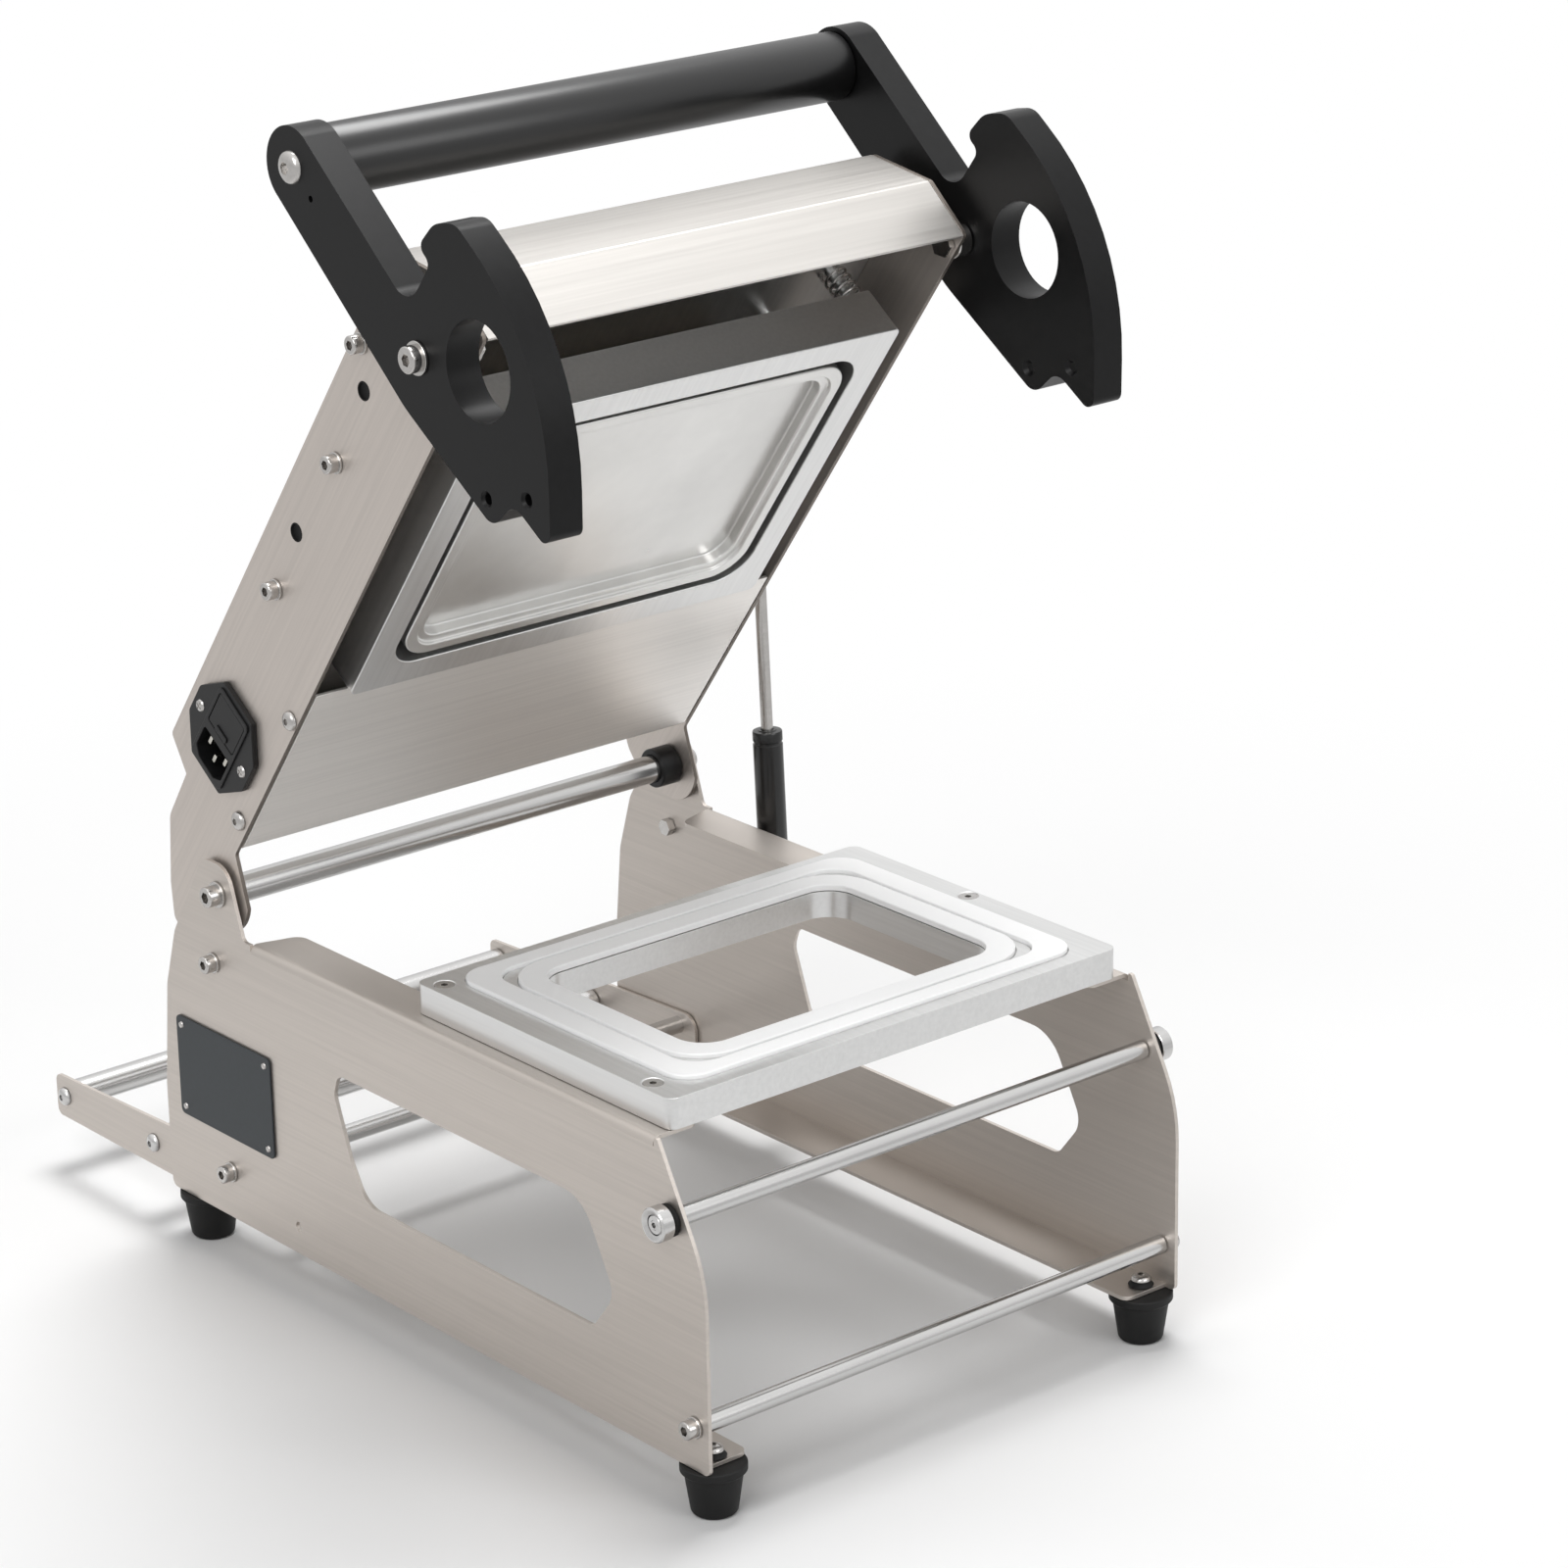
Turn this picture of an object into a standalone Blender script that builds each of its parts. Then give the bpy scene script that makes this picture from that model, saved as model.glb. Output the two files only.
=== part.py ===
"""Manual lever tray sealer: a bench frame of two folded side plates, a tray plate with two
silicone seal rings, a hinged lid with a heated sealing lip and a sprung clamp frame, a U-shaped
lever with two cams, a gas strut and a rear film holder.

Sizes are in millimetres and become metres when a mesh is made. Outlines are drawn in (f, z):
f runs forward (world -Y) and z up. Base pieces count f and z from the datum at the rear lower
corner of the side plates; lid pieces count from the lid's hinge axis, with the lid shut.
The outlines' corners are (f, z, fillet radius).
"""
import math

import bmesh
import bpy
from mathutils import Matrix

MM = 0.001
ARC_STEP = math.radians(22.5)    # turn of one facet of a rounded corner

# --- clearances -----------------------------------------------------------------------------
CLEAR = 0.3                      # between pieces that are bolted or rest on each other
RUN = 0.3                        # radial play of a pin or screw in its hole
SHUT_GAP = 0.4                   # under the clamp frame and the lip, above the seal rings

# --- base -----------------------------------------------------------------------------------
BASE_W = 280.0                   # over the side plates
BASE_H = 149.0                   # side plates, up to their top flanges
BASE_FRONT = 406.0               # front edge of the side plates
BASE_REAR = 10.0                 # rear edge, behind the datum
SHEET = 2.0                      # side plates, lid plates and film arms
TOP_FLANGE = 25.0
LOW_FLANGE = 27.0
FOOT_H, FOOT_TOP_D, FOOT_END_D = 24.0, 30.0, 20.0
FOOT_INSET = 12.0                # foot centre from the outer face of its plate
FOOT_REAR, FOOT_FRONT = 5.0, 394.0
WINDOW_REAR, WINDOW_FRONT, WINDOW_LOW, WINDOW_TOP = 134.0, 328.0, 44.0, BASE_H - 45.0
ROD_D = 9.0
ROD_FRONT_LOW, ROD_FRONT_UP = (397.0, 21.0), (384.0, BASE_H - 34.5)
ROD_REAR_LOW, SCREW_REAR_UP = (43.5, 24.3), (38.5, BASE_H - 18.0)
PIVOT = (45.5, BASE_H + 18.5)    # lid hinge axis
SHAFT_D = 14.0
EAR_R = 15.5                     # metal above and around the hinge axis
M5, M5_HEAD_D, M5_HEAD_H, M5_WASHER_D = 5.0, 8.5, 5.0, 10.0
M5_NUT_D, M5_NUT_T = 8.8, 4.0
M6, M6_HEAD_D, M6_HEAD_H, M6_WASHER_D = 6.0, 10.0, 6.0, 13.0
WASHER_T = 1.0
SCREW_DEPTH = 12.0               # thread engaged in a rod's end
ROLLER_D, ROLLER_W = 16.0, 6.4
ROLLER_SINK = 2.4                # counterbore in a roller's face, for its screw's head
SPACER_D, SPACER_W = 15.0, 3.0   # black washer between a roller and its plate
NAMEPLATE = (4.0, 83.0, 43.5, 95.0)      # f and z limits on the left plate
NAMEPLATE_T = 1.0

# --- tray plate and seal rings --------------------------------------------------------------
TRAY_INSET = 9.0                 # from the outer face of a side plate
TRAY_W, TRAY_L, TRAY_T = BASE_W - 2 * TRAY_INSET, 184.0, 14.5
SEAL_F = 237.0                   # middle of tray, rings, frame and lip, ahead of the hinge axis
OPENING_W, OPENING_L, OPENING_R = 176.0, 118.0, 15.0
RING_IN_W, RING_IN_L, RING_IN_R = 202.0, 142.0, 25.0
RING_OUT_W, RING_OUT_L, RING_OUT_R = 232.0, 166.0, 14.0
RING_GROOVE = 2.0                # between the two rings
RING_PROUD, RING_SUNK = 2.0, 1.5

# --- film holder ----------------------------------------------------------------------------
ARM_TIP = 118.0                  # behind the datum
ARM_LOW, ARM_TOP, ARM_TIP_TOP = 3.0, 30.5, 25.0
FILM_ROLLER_D = 14.0
FILM_ROLLERS = ((29.0, 15.5), (110.0, 14.5))     # behind the datum, above it
BUTTON_D, BUTTON_H = 9.5, 2.7

# --- lid (from the hinge axis, shut) --------------------------------------------------------
LID_OPEN = 53.5                  # degrees at rest
LID_GAP = 2.0                    # between a lid plate and a base plate
LID_W = BASE_W - 2 * (SHEET + LID_GAP)   # over the lid plates
LID_TOP, LID_LOW = 72.0, 4.4
LID_FRONT, LID_NOSE = 385.0, 366.0       # front edge, and where the top face ends
LID_REAR = 24.0                  # rear edge of the covers
HUB_R = 19.0
COVER_T = 1.5
LOW_COVER_GAP = 2.5              # from the lower cover to the clamp frame
BUSH_D, BUSH_RIGHT_W, BUSH_LEFT_W = 20.0, 12.0, 3.0
HINGE_PIN = (370.0, 11.5)        # lever pivot on the lid
STUD_LID = (139.0, 39.0)         # strut stud on the right lid plate
FRAME_W, FRAME_L, FRAME_T = 238.0, 186.0, 25.0
FRAME_IN_W, FRAME_IN_L = 208.0, 156.0
FRAME_TRAVEL = 8.0
LIP_W, LIP_L, LIP_WIDE = 200.0, 149.0, 12.0
HOT_T, HOT_POCKET = 20.0, 9.0
HEATER_W, HEATER_L, HEATER_T = 150.0, 90.0, 6.0
CARRIER_B, CARRIER_T, CARRIER_FLANGE = 44.0, 3.0, 14.0
CARRIER_REAR, CARRIER_FRONT = 148.0, 345.0
POST_D, POST_IN = 6.0, 12.0      # guide post and its length inside the frame
STANDOFF_D = 8.0
SPRING_D, WIRE_D, SPRING_TURNS = 13.0, 1.5, 4.5
INLET = (70.0, 40.0)
INLET_FLANGE, INLET_BODY, INLET_DEPTH = (52.0, 51.0), (47.0, 27.0), 28.0
CONTROLLER = (62.0, 92.0)        # x and f of its middle on the top face
CONTROLLER_BODY, CONTROLLER_BEZEL = 45.0, 49.0
CONTROLLER_DEPTH, BEZEL_T = 40.0, 3.0
SWITCH = (-30.0, 92.0)
SWITCH_BODY_W, SWITCH_BODY_L, SWITCH_DEPTH, SWITCH_RIM = 19.0, 28.0, 22.0, 2.0
ROCKER_TILT = 10.0               # degrees, at rest

# --- lever (from its pivot, lid shut) -------------------------------------------------------
LEVER_GAP = 4.0                  # between an arm and a base plate
LEVER_X, LEVER_T = BASE_W / 2 + LEVER_GAP, 17.0   # inner face of an arm, and its thickness
GRIP = (2.0, 110.0)
GRIP_D, LEVER_END_R = 32.0, 18.0
CAM_HOLE, CAM_HOLE_D = (26.5, -32.5), 44.0
CAM_RUN = 1.0                    # from a roller to the cam's corner, lid shut and lever up
BOLT_D, BOLT_HEAD_D, BOLT_HEAD_H, BOLT_COLLAR_D, BOLT_NUT_D = 8.0, 12.0, 5.0, 16.0, 13.0

# --- gas strut ------------------------------------------------------------------------------
STUD_BASE = (109.0, 26.0)
STRUT_X = BASE_W / 2 + 11.0
STRUT_D, STRUT_ROD_D, STRUT_LEN = 15.0, 6.0, 156.0
EYE_D, EYE_T, EYE_NECK = 16.0, 8.0, 14.0
ROD_INSIDE = 30.0                # of the rod, at full reach
STUD_D, OPEN_PIVOT_GAP = 8.0, 0.5

# --- derived --------------------------------------------------------------------------------
FOOT_REACH = max(BASE_FRONT, FOOT_FRONT + FOOT_TOP_D / 2)
F_MID = (FOOT_REACH - ARM_TIP) / 2
IN_BASE = BASE_W / 2 - SHEET     # inner face of a base plate
IN_LID = LID_W / 2 - SHEET
IN_COVER = IN_LID - CLEAR
TRAY_LOW = BASE_H + CLEAR
TRAY_TOP = TRAY_LOW + TRAY_T
FRAME_LOW = TRAY_TOP + RING_PROUD + SHUT_GAP - PIVOT[1]
FRAME_TOP = FRAME_LOW + FRAME_T
HOT_TOP = FRAME_LOW + HOT_T
OPEN = math.radians(LID_OPEN)

scene_objects = list(bpy.data.objects)
for old in scene_objects:
    bpy.data.objects.remove(old, do_unlink=True)


def collection(name):
    made = bpy.data.collections.new(name)
    bpy.context.scene.collection.children.link(made)
    return made


PARTS = collection("tray_sealer")
CUTTERS = collection("cutters")
CUTTERS.hide_render = True


# --- materials ------------------------------------------------------------------------------
def material(name, colour, roughness, metallic):
    made = bpy.data.materials.new(name)
    made.use_nodes = True
    shader = made.node_tree.nodes["Principled BSDF"]
    shader.inputs["Base Color"].default_value = (*colour, 1.0)
    shader.inputs["Roughness"].default_value = roughness
    shader.inputs["Metallic"].default_value = metallic
    made.diffuse_color = (*colour, 1.0)
    return made


LOOKS = {
    "brushed_steel": ((0.52, 0.48, 0.45), 0.38, 1.0),
    "cover_steel": ((0.66, 0.64, 0.61), 0.35, 1.0),
    "polished_steel": ((0.72, 0.71, 0.70), 0.18, 1.0),
    "aluminium": ((0.80, 0.80, 0.80), 0.34, 1.0),
    "black_lever": ((0.022, 0.022, 0.023), 0.42, 0.0),
    "black_plastic": ((0.018, 0.018, 0.018), 0.5, 0.0),
    "black_metal": ((0.03, 0.03, 0.03), 0.3, 0.6),
    "rubber": ((0.015, 0.015, 0.015), 0.75, 0.0),
    "silicone": ((0.86, 0.86, 0.86), 0.5, 0.0),
    "slate": ((0.045, 0.052, 0.058), 0.45, 0.0),
    "heater_mica": ((0.42, 0.36, 0.28), 0.6, 0.0),
}


# --- mesh makers: all take millimetres and give a mesh in metres ----------------------------
def loose_object(name, data, matrix):
    """A new object, not yet in any collection that is kept."""
    made = bpy.data.objects.new(name, data)
    made.matrix_world = matrix
    bpy.context.scene.collection.objects.link(made)
    bpy.context.view_layer.update()
    return made


def finished(obj):
    """The object's evaluated shape as a mesh in its parent's space; the object is removed."""
    graph = bpy.context.evaluated_depsgraph_get()
    mesh = bpy.data.meshes.new_from_object(obj.evaluated_get(graph))
    mesh.transform(obj.matrix_world)
    source = obj.data
    bpy.data.objects.remove(obj, do_unlink=True)
    if isinstance(source, bpy.types.Curve):
        bpy.data.curves.remove(source)
    shape = bmesh.new()
    shape.from_mesh(mesh)
    bmesh.ops.remove_doubles(shape, verts=shape.verts, dist=1e-7)
    bmesh.ops.recalc_face_normals(shape, faces=shape.faces)
    shape.to_mesh(mesh)
    shape.free()
    return mesh


def extruded(loops, thickness, matrix):
    """A flat 2D curve, outline first and then its holes, filled and given a thickness."""
    curve = bpy.data.curves.new("outline", "CURVE")
    curve.dimensions = "2D"
    curve.fill_mode = "BOTH"
    curve.extrude = thickness * MM / 2
    for loop in loops:
        spline = curve.splines.new("POLY")
        spline.points.add(len(loop) - 1)
        for point, (u, v) in zip(spline.points, loop):
            point.co = (u * MM, v * MM, 0.0, 1.0)
        spline.use_cyclic_u = True
    return finished(loose_object("outline", curve, matrix))


def upright(loops, x0, x1):
    """Loops in (f, z), standing from x0 to x1."""
    turn = Matrix(((0, 0, -1, (x0 + x1) / 2 * MM), (-1, 0, 0, 0), (0, 1, 0, 0), (0, 0, 0, 1)))
    return extruded(loops, abs(x1 - x0), turn)


def lying(loops, z0, z1):
    """Loops in (x, f), lying from z0 to z1."""
    turn = Matrix(((1, 0, 0, 0), (0, -1, 0, 0), (0, 0, -1, (z0 + z1) / 2 * MM), (0, 0, 0, 1)))
    return extruded(loops, abs(z1 - z0), turn)


def turned(profile, along="X", at=(0.0, 0.0, 0.0), sides=16):
    """Profile of (radius, height), top to bottom, turned about an axis along X or Z at (x, f, z)."""
    mesh = bpy.data.meshes.new("profile")
    points = [(r * MM, 0.0, h * MM) for r, h in profile]
    mesh.from_pydata(points, [(i, i + 1) for i in range(len(points) - 1)], [])
    place = Matrix.Translation((at[0] * MM, -at[1] * MM, at[2] * MM))
    if along == "X":
        place = place @ Matrix.Rotation(math.pi / 2, 4, "Y")
    obj = loose_object("profile", mesh, place)
    screw = obj.modifiers.new("turn", "SCREW")
    screw.steps = screw.render_steps = sides
    screw.use_merge_vertices = True
    screw.merge_threshold = 1e-6
    return finished(obj)


def block(x, f, z):
    """A box from three (low, high) pairs."""
    shape = bmesh.new()
    bmesh.ops.create_cube(shape, size=MM)
    for vert in shape.verts:
        for axis, (low, high) in enumerate((x, (-f[1], -f[0]), z)):
            middle = (low + high) / 2 * MM
            vert.co[axis] = vert.co[axis] * (high - low) + middle
    mesh = bpy.data.meshes.new("block")
    shape.to_mesh(mesh)
    shape.free()
    return mesh


# --- outlines -------------------------------------------------------------------------------
def arc(centre, radius, start, end):
    """Points on a circle, from one angle to another, in degrees."""
    start, end = math.radians(start), math.radians(end)
    count = max(2, math.ceil(abs(end - start) / ARC_STEP))
    return [(centre[0] + radius * math.cos(start + (end - start) * i / count),
             centre[1] + radius * math.sin(start + (end - start) * i / count))
            for i in range(count + 1)]


def circle(centre, diameter):
    """A hole: twelve sides when it is small, more when it is large."""
    sides = 12 if diameter < 16 else 28
    step = 2 * math.pi / sides
    return [(centre[0] + diameter / 2 * math.cos(i * step),
             centre[1] + diameter / 2 * math.sin(i * step)) for i in range(sides)]


def rounded(corners):
    """Closed outline through (u, v, radius) corners, each rounded by its tangent arc."""
    outline = []
    for i, (u, v, radius) in enumerate(corners):
        before, after = corners[i - 1], corners[(i + 1) % len(corners)]
        to_a = (before[0] - u, before[1] - v)
        to_b = (after[0] - u, after[1] - v)
        la, lb = math.hypot(*to_a), math.hypot(*to_b)
        to_a, to_b = (to_a[0] / la, to_a[1] / la), (to_b[0] / lb, to_b[1] / lb)
        half = math.acos(max(-1.0, min(1.0, to_a[0] * to_b[0] + to_a[1] * to_b[1]))) / 2
        reach = min(radius / math.tan(half), 0.45 * la, 0.45 * lb)
        radius = reach * math.tan(half)
        if radius < 0.2:
            outline.append((u, v))
            continue
        mid = (to_a[0] + to_b[0], to_a[1] + to_b[1])
        scale = radius / math.sin(half) / math.hypot(*mid)
        centre = (u + mid[0] * scale, v + mid[1] * scale)
        first = math.atan2(v + to_a[1] * reach - centre[1], u + to_a[0] * reach - centre[0])
        last = math.atan2(v + to_b[1] * reach - centre[1], u + to_b[0] * reach - centre[0])
        turn = (last - first + math.pi) % (2 * math.pi) - math.pi
        outline += arc(centre, radius, math.degrees(first), math.degrees(first + turn))
    return outline


def rectangle(width, length, radius, centre=(0.0, 0.0)):
    u, v = centre
    return rounded([(u + sx * width / 2, v + sy * length / 2, radius)
                    for sx, sy in ((-1, -1), (1, -1), (1, 1), (-1, 1))])


def folded(line, thickness):
    """Outline of a folded sheet: a line of points and the same line set in by the thickness."""
    inner = []
    for i, (u, v) in enumerate(line):
        ends = [line[i], line[i + 1]] if i == 0 else [line[i - 1], line[i]]
        legs = [ends] if i in (0, len(line) - 1) else [ends, [line[i], line[i + 1]]]
        normals = []
        for (u0, v0), (u1, v1) in legs:
            length = math.hypot(u1 - u0, v1 - v0)
            normals.append(((v1 - v0) / length, -(u1 - u0) / length))
        mid = (sum(n[0] for n in normals), sum(n[1] for n in normals))
        size = math.hypot(*mid)
        cosine = (mid[0] * normals[0][0] + mid[1] * normals[0][1]) / size
        step = thickness / cosine / size
        inner.append((u + mid[0] * step, v + mid[1] * step))
    return list(line) + inner[::-1]


# --- placing --------------------------------------------------------------------------------
def empty(name, parent, at, tilt=0.0):
    made = bpy.data.objects.new(name, None)
    PARTS.objects.link(made)
    made.parent = parent
    made.location = (at[0] * MM, -at[1] * MM, at[2] * MM)
    made.rotation_euler.x = tilt
    return made


def piece(name, mesh, parent, look, at=(0.0, 0.0, 0.0), tilt=0.0):
    """The mesh as a named sub-part whose origin is at (x, f, z) in its parent's space."""
    mesh.name = name
    made = bpy.data.objects.new(name, mesh)
    PARTS.objects.link(made)
    made.parent = parent
    made.location = (at[0] * MM, -at[1] * MM, at[2] * MM)
    made.rotation_euler.x = tilt
    mesh.materials.clear()
    mesh.materials.append(material(name, *LOOKS[look]))
    mesh.shade_smooth()
    mesh.set_sharp_from_angle(angle=math.radians(35))
    return made


def shaped(obj, operation, mesh):
    """Joins a helper shape to the piece, or cuts the piece with it; both share one space."""
    helper = bpy.data.objects.new(f"{obj.name}_{operation.lower()}", mesh)
    CUTTERS.objects.link(helper)
    helper.parent = obj
    helper.hide_render = True
    helper.display_type = "WIRE"
    boolean = obj.modifiers.new(helper.name, "BOOLEAN")
    boolean.operation = operation
    boolean.solver = "EXACT"
    boolean.object = helper


def side_name(side):
    return "left" if side < 0 else "right"


def cap_screw(head_d, head_h, washer_d, shank_d, shank):
    """Profile of a cap screw with its washer: head outermost at +, shank towards -; face at 0."""
    head, low = head_d / 2, WASHER_T + CLEAR
    return [(0, low + head_h), (head, low + head_h), (head, low), (washer_d / 2, low),
            (washer_d / 2, CLEAR), (shank_d / 2, CLEAR), (shank_d / 2, -shank), (0, -shank)]


def outward(profile, side):
    """A profile drawn for the right side, or reversed for the left one."""
    return profile if side > 0 else [(r, -h) for r, h in reversed(profile)]


BASE = empty("base_datum", None, (0, -F_MID, FOOT_H))
LID = empty("lid_axis", BASE, (0, *PIVOT), -OPEN)
LEVER = empty("lever_axis", LID, (0, *HINGE_PIN))

# --- base side plates -----------------------------------------------------------------------
RODS = {"rod_front_lower": ROD_FRONT_LOW, "rod_front_upper": ROD_FRONT_UP,
        "rod_rear_lower": ROD_REAR_LOW}
ear_top = PIVOT[1] + EAR_R
side_outline = rounded([
    (-BASE_REAR, 0, 4), (BASE_FRONT, 0, 3), (BASE_FRONT, BASE_H - 56, 70),
    (BASE_FRONT - 30, BASE_H, 5), (PIVOT[0] + 19, BASE_H, 4), (PIVOT[0] + 8, ear_top, 13),
    (PIVOT[0] - 12, ear_top, 10), (PIVOT[0] - 40, BASE_H - 11, 15), (-4, BASE_H - 41, 20),
    (-BASE_REAR, BASE_H - 95, 30)])
window = rounded([
    (WINDOW_REAR + 4, WINDOW_TOP, 6), (WINDOW_FRONT - 6, WINDOW_TOP, 22),
    (WINDOW_FRONT + 15, (WINDOW_LOW + WINDOW_TOP) / 2 - 10, 12),
    (WINDOW_FRONT - 1, WINDOW_LOW, 7), (WINDOW_REAR + 22, WINDOW_LOW, 22),
    (WINDOW_REAR + 11, WINDOW_LOW + 19, 20),
    (WINDOW_REAR, WINDOW_TOP - 11, 8)])
plate_holes = [window, circle((99.0, 14.0), 5.0), circle(PIVOT, M6 + 2 * RUN)]
plate_holes += [circle(at, M5 + 2 * RUN) for at in (*RODS.values(), SCREW_REAR_UP)]
for side in (-1, 1):
    holes = plate_holes + ([circle(STUD_BASE, STUD_D + 2 * RUN)] if side > 0 else [])
    outer = side * BASE_W / 2
    plate = piece(f"base_side_{side_name(side)}",
                  upright([side_outline] + holes, outer, side * IN_BASE), BASE, "brushed_steel")
    top = rounded([(outer - side * SHEET / 2, PIVOT[0] + 23, 0),
                   (outer - side * TOP_FLANGE, PIVOT[0] + 29, 7),
                   (outer - side * TOP_FLANGE, BASE_FRONT - 33, 4),
                   (outer - side * SHEET / 2, BASE_FRONT - 33, 0)])
    shaped(plate, "UNION", lying([top], BASE_H - SHEET - 0.02, BASE_H - 0.02))
    low = rounded([(outer - side * SHEET / 2, -BASE_REAR + 7, 0),
                   (outer - side * LOW_FLANGE, -BASE_REAR + 7, 5),
                   (outer - side * LOW_FLANGE, BASE_FRONT - 6, 5),
                   (outer - side * SHEET / 2, BASE_FRONT - 6, 0)])
    feet = [circle((outer - side * FOOT_INSET, f), 6.0 + 2 * RUN) for f in (FOOT_REAR, FOOT_FRONT)]
    shaped(plate, "UNION", lying([low] + feet, 0.02, SHEET + 0.02))
    for f, end in ((FOOT_REAR, "rear"), (FOOT_FRONT, "front")):
        head = SHEET + 0.02 + CLEAR
        piece(f"foot_{end}_{side_name(side)}",
              turned([(0, head + 3), (4, head + 3), (6, head), (3, head), (3, -CLEAR),
                      (FOOT_TOP_D / 2, -CLEAR), (FOOT_TOP_D / 2, -3), (FOOT_END_D / 2, -FOOT_H),
                      (0, -FOOT_H)], "Z"),
              BASE, "rubber", (outer - side * FOOT_INSET, f, 0))

# --- cross rods, hinge shaft and their end screws -------------------------------------------
bore = SCREW_DEPTH + 2
half = IN_BASE - CLEAR


def bored_rod(diameter, thread):
    """A rod between the base plates, with a blind screw hole in each end."""
    return turned([(0, half - bore), (thread / 2 + RUN, half - bore), (thread / 2 + RUN, half),
                   (diameter / 2, half), (diameter / 2, -half), (thread / 2 + RUN, -half),
                   (thread / 2 + RUN, bore - half), (0, bore - half)])


for name, (f, z) in RODS.items():
    piece(name, bored_rod(ROD_D, M5), BASE, "polished_steel", (0, f, z))
piece("hinge_shaft", bored_rod(SHAFT_D, M6), BASE, "polished_steel", (0, *PIVOT))
for side in (-1, 1):
    face = side * BASE_W / 2
    for name in ("rod_front_lower", "rod_rear_lower"):
        screw = cap_screw(M5_HEAD_D, M5_HEAD_H, M5_WASHER_D, M5, SHEET + SCREW_DEPTH)
        piece(f"{name.replace('rod', 'screw')}_{side_name(side)}",
              turned(outward(screw, side)), BASE, "polished_steel",
              (face, *RODS[name]))
    nut = SHEET + CLEAR
    screw = cap_screw(M5_HEAD_D, M5_HEAD_H, M5_WASHER_D, M5, nut)[:-1]
    screw += [(M5_NUT_D / 2, -nut), (M5_NUT_D / 2, -nut - M5_NUT_T), (0, -nut - M5_NUT_T)]
    piece(f"screw_rear_upper_{side_name(side)}", turned(outward(screw, side)), BASE,
          "polished_steel", (face, *SCREW_REAR_UP))
    screw = cap_screw(M6_HEAD_D, M6_HEAD_H, M6_WASHER_D, M6, SHEET + SCREW_DEPTH)
    piece(f"screw_hinge_{side_name(side)}", turned(outward(screw, side)), BASE,
          "polished_steel", (face, *PIVOT))
    hole, rim, sink = M5 / 2 + RUN, ROLLER_D / 2, M5_HEAD_D / 2 + RUN
    inner = 2 * CLEAR + SPACER_W         # of the roller, from the plate
    floor, top = inner + ROLLER_W - ROLLER_SINK, inner + ROLLER_W
    screw = [(0, top - CLEAR), (M5_HEAD_D / 2, top - CLEAR), (M5_HEAD_D / 2, floor + CLEAR),
             (M5 / 2, floor + CLEAR), (M5 / 2, -SHEET - SCREW_DEPTH), (0, -SHEET - SCREW_DEPTH)]
    piece(f"screw_roller_{side_name(side)}", turned(outward(screw, side)), BASE,
          "polished_steel", (face, *ROD_FRONT_UP))
    wheel = [(sink, top), (rim - 0.6, top), (rim, top - 0.6), (rim, inner + 0.6),
             (rim - 0.6, inner), (hole, inner), (hole, floor), (sink, floor), (sink, top)]
    piece(f"cam_roller_{side_name(side)}", turned(outward(wheel, side)), BASE, "polished_steel",
          (face, *ROD_FRONT_UP))
    washer = [(hole, CLEAR + SPACER_W), (SPACER_D / 2, CLEAR + SPACER_W), (SPACER_D / 2, CLEAR),
              (hole, CLEAR), (hole, CLEAR + SPACER_W)]
    piece(f"roller_spacer_{side_name(side)}", turned(outward(washer, side)), BASE,
          "black_plastic", (face, *ROD_FRONT_UP))

rear, front, low, high = NAMEPLATE
piece("nameplate", upright([rectangle(front - rear, high - low, 3, ((rear + front) / 2,
                                                                    (low + high) / 2))],
                           -BASE_W / 2 - CLEAR, -BASE_W / 2 - CLEAR - NAMEPLATE_T),
      BASE, "slate")

# --- tray plate and seal rings --------------------------------------------------------------
seal_f = PIVOT[0] + SEAL_F
opening = rectangle(OPENING_W, OPENING_L, OPENING_R, (0, seal_f))
tray = piece("tray_plate", lying([rectangle(TRAY_W, TRAY_L, 5, (0, seal_f)), opening],
                                 TRAY_LOW, TRAY_TOP), BASE, "aluminium")
rings = {
    "seal_ring_inner": ((RING_IN_W, RING_IN_L, RING_IN_R), (OPENING_W, OPENING_L, OPENING_R)),
    "seal_ring_outer": ((RING_OUT_W, RING_OUT_L, RING_OUT_R),
                        (RING_IN_W + 2 * RING_GROOVE, RING_IN_L + 2 * RING_GROOVE, RING_OUT_R)),
}
for name, (outside, inside) in rings.items():
    shape = [rectangle(w, length, r, (0, seal_f)) for w, length, r in (outside, inside)]
    piece(name, lying(shape, TRAY_TOP - RING_SUNK + CLEAR, TRAY_TOP + RING_PROUD), BASE,
          "silicone")
shaped(tray, "DIFFERENCE",
       lying([rectangle(RING_IN_W + 2 * CLEAR, RING_IN_L + 2 * CLEAR, RING_IN_R, (0, seal_f))],
             TRAY_TOP - RING_SUNK, TRAY_TOP + 5))
shaped(tray, "DIFFERENCE",
       lying([rectangle(RING_OUT_W + 2 * CLEAR, RING_OUT_L + 2 * CLEAR, RING_OUT_R, (0, seal_f)),
              rectangle(RING_IN_W + 2 * RING_GROOVE - 2 * CLEAR,
                        RING_IN_L + 2 * RING_GROOVE - 2 * CLEAR, RING_OUT_R, (0, seal_f))],
             TRAY_TOP - RING_SUNK, TRAY_TOP + 5))

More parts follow.
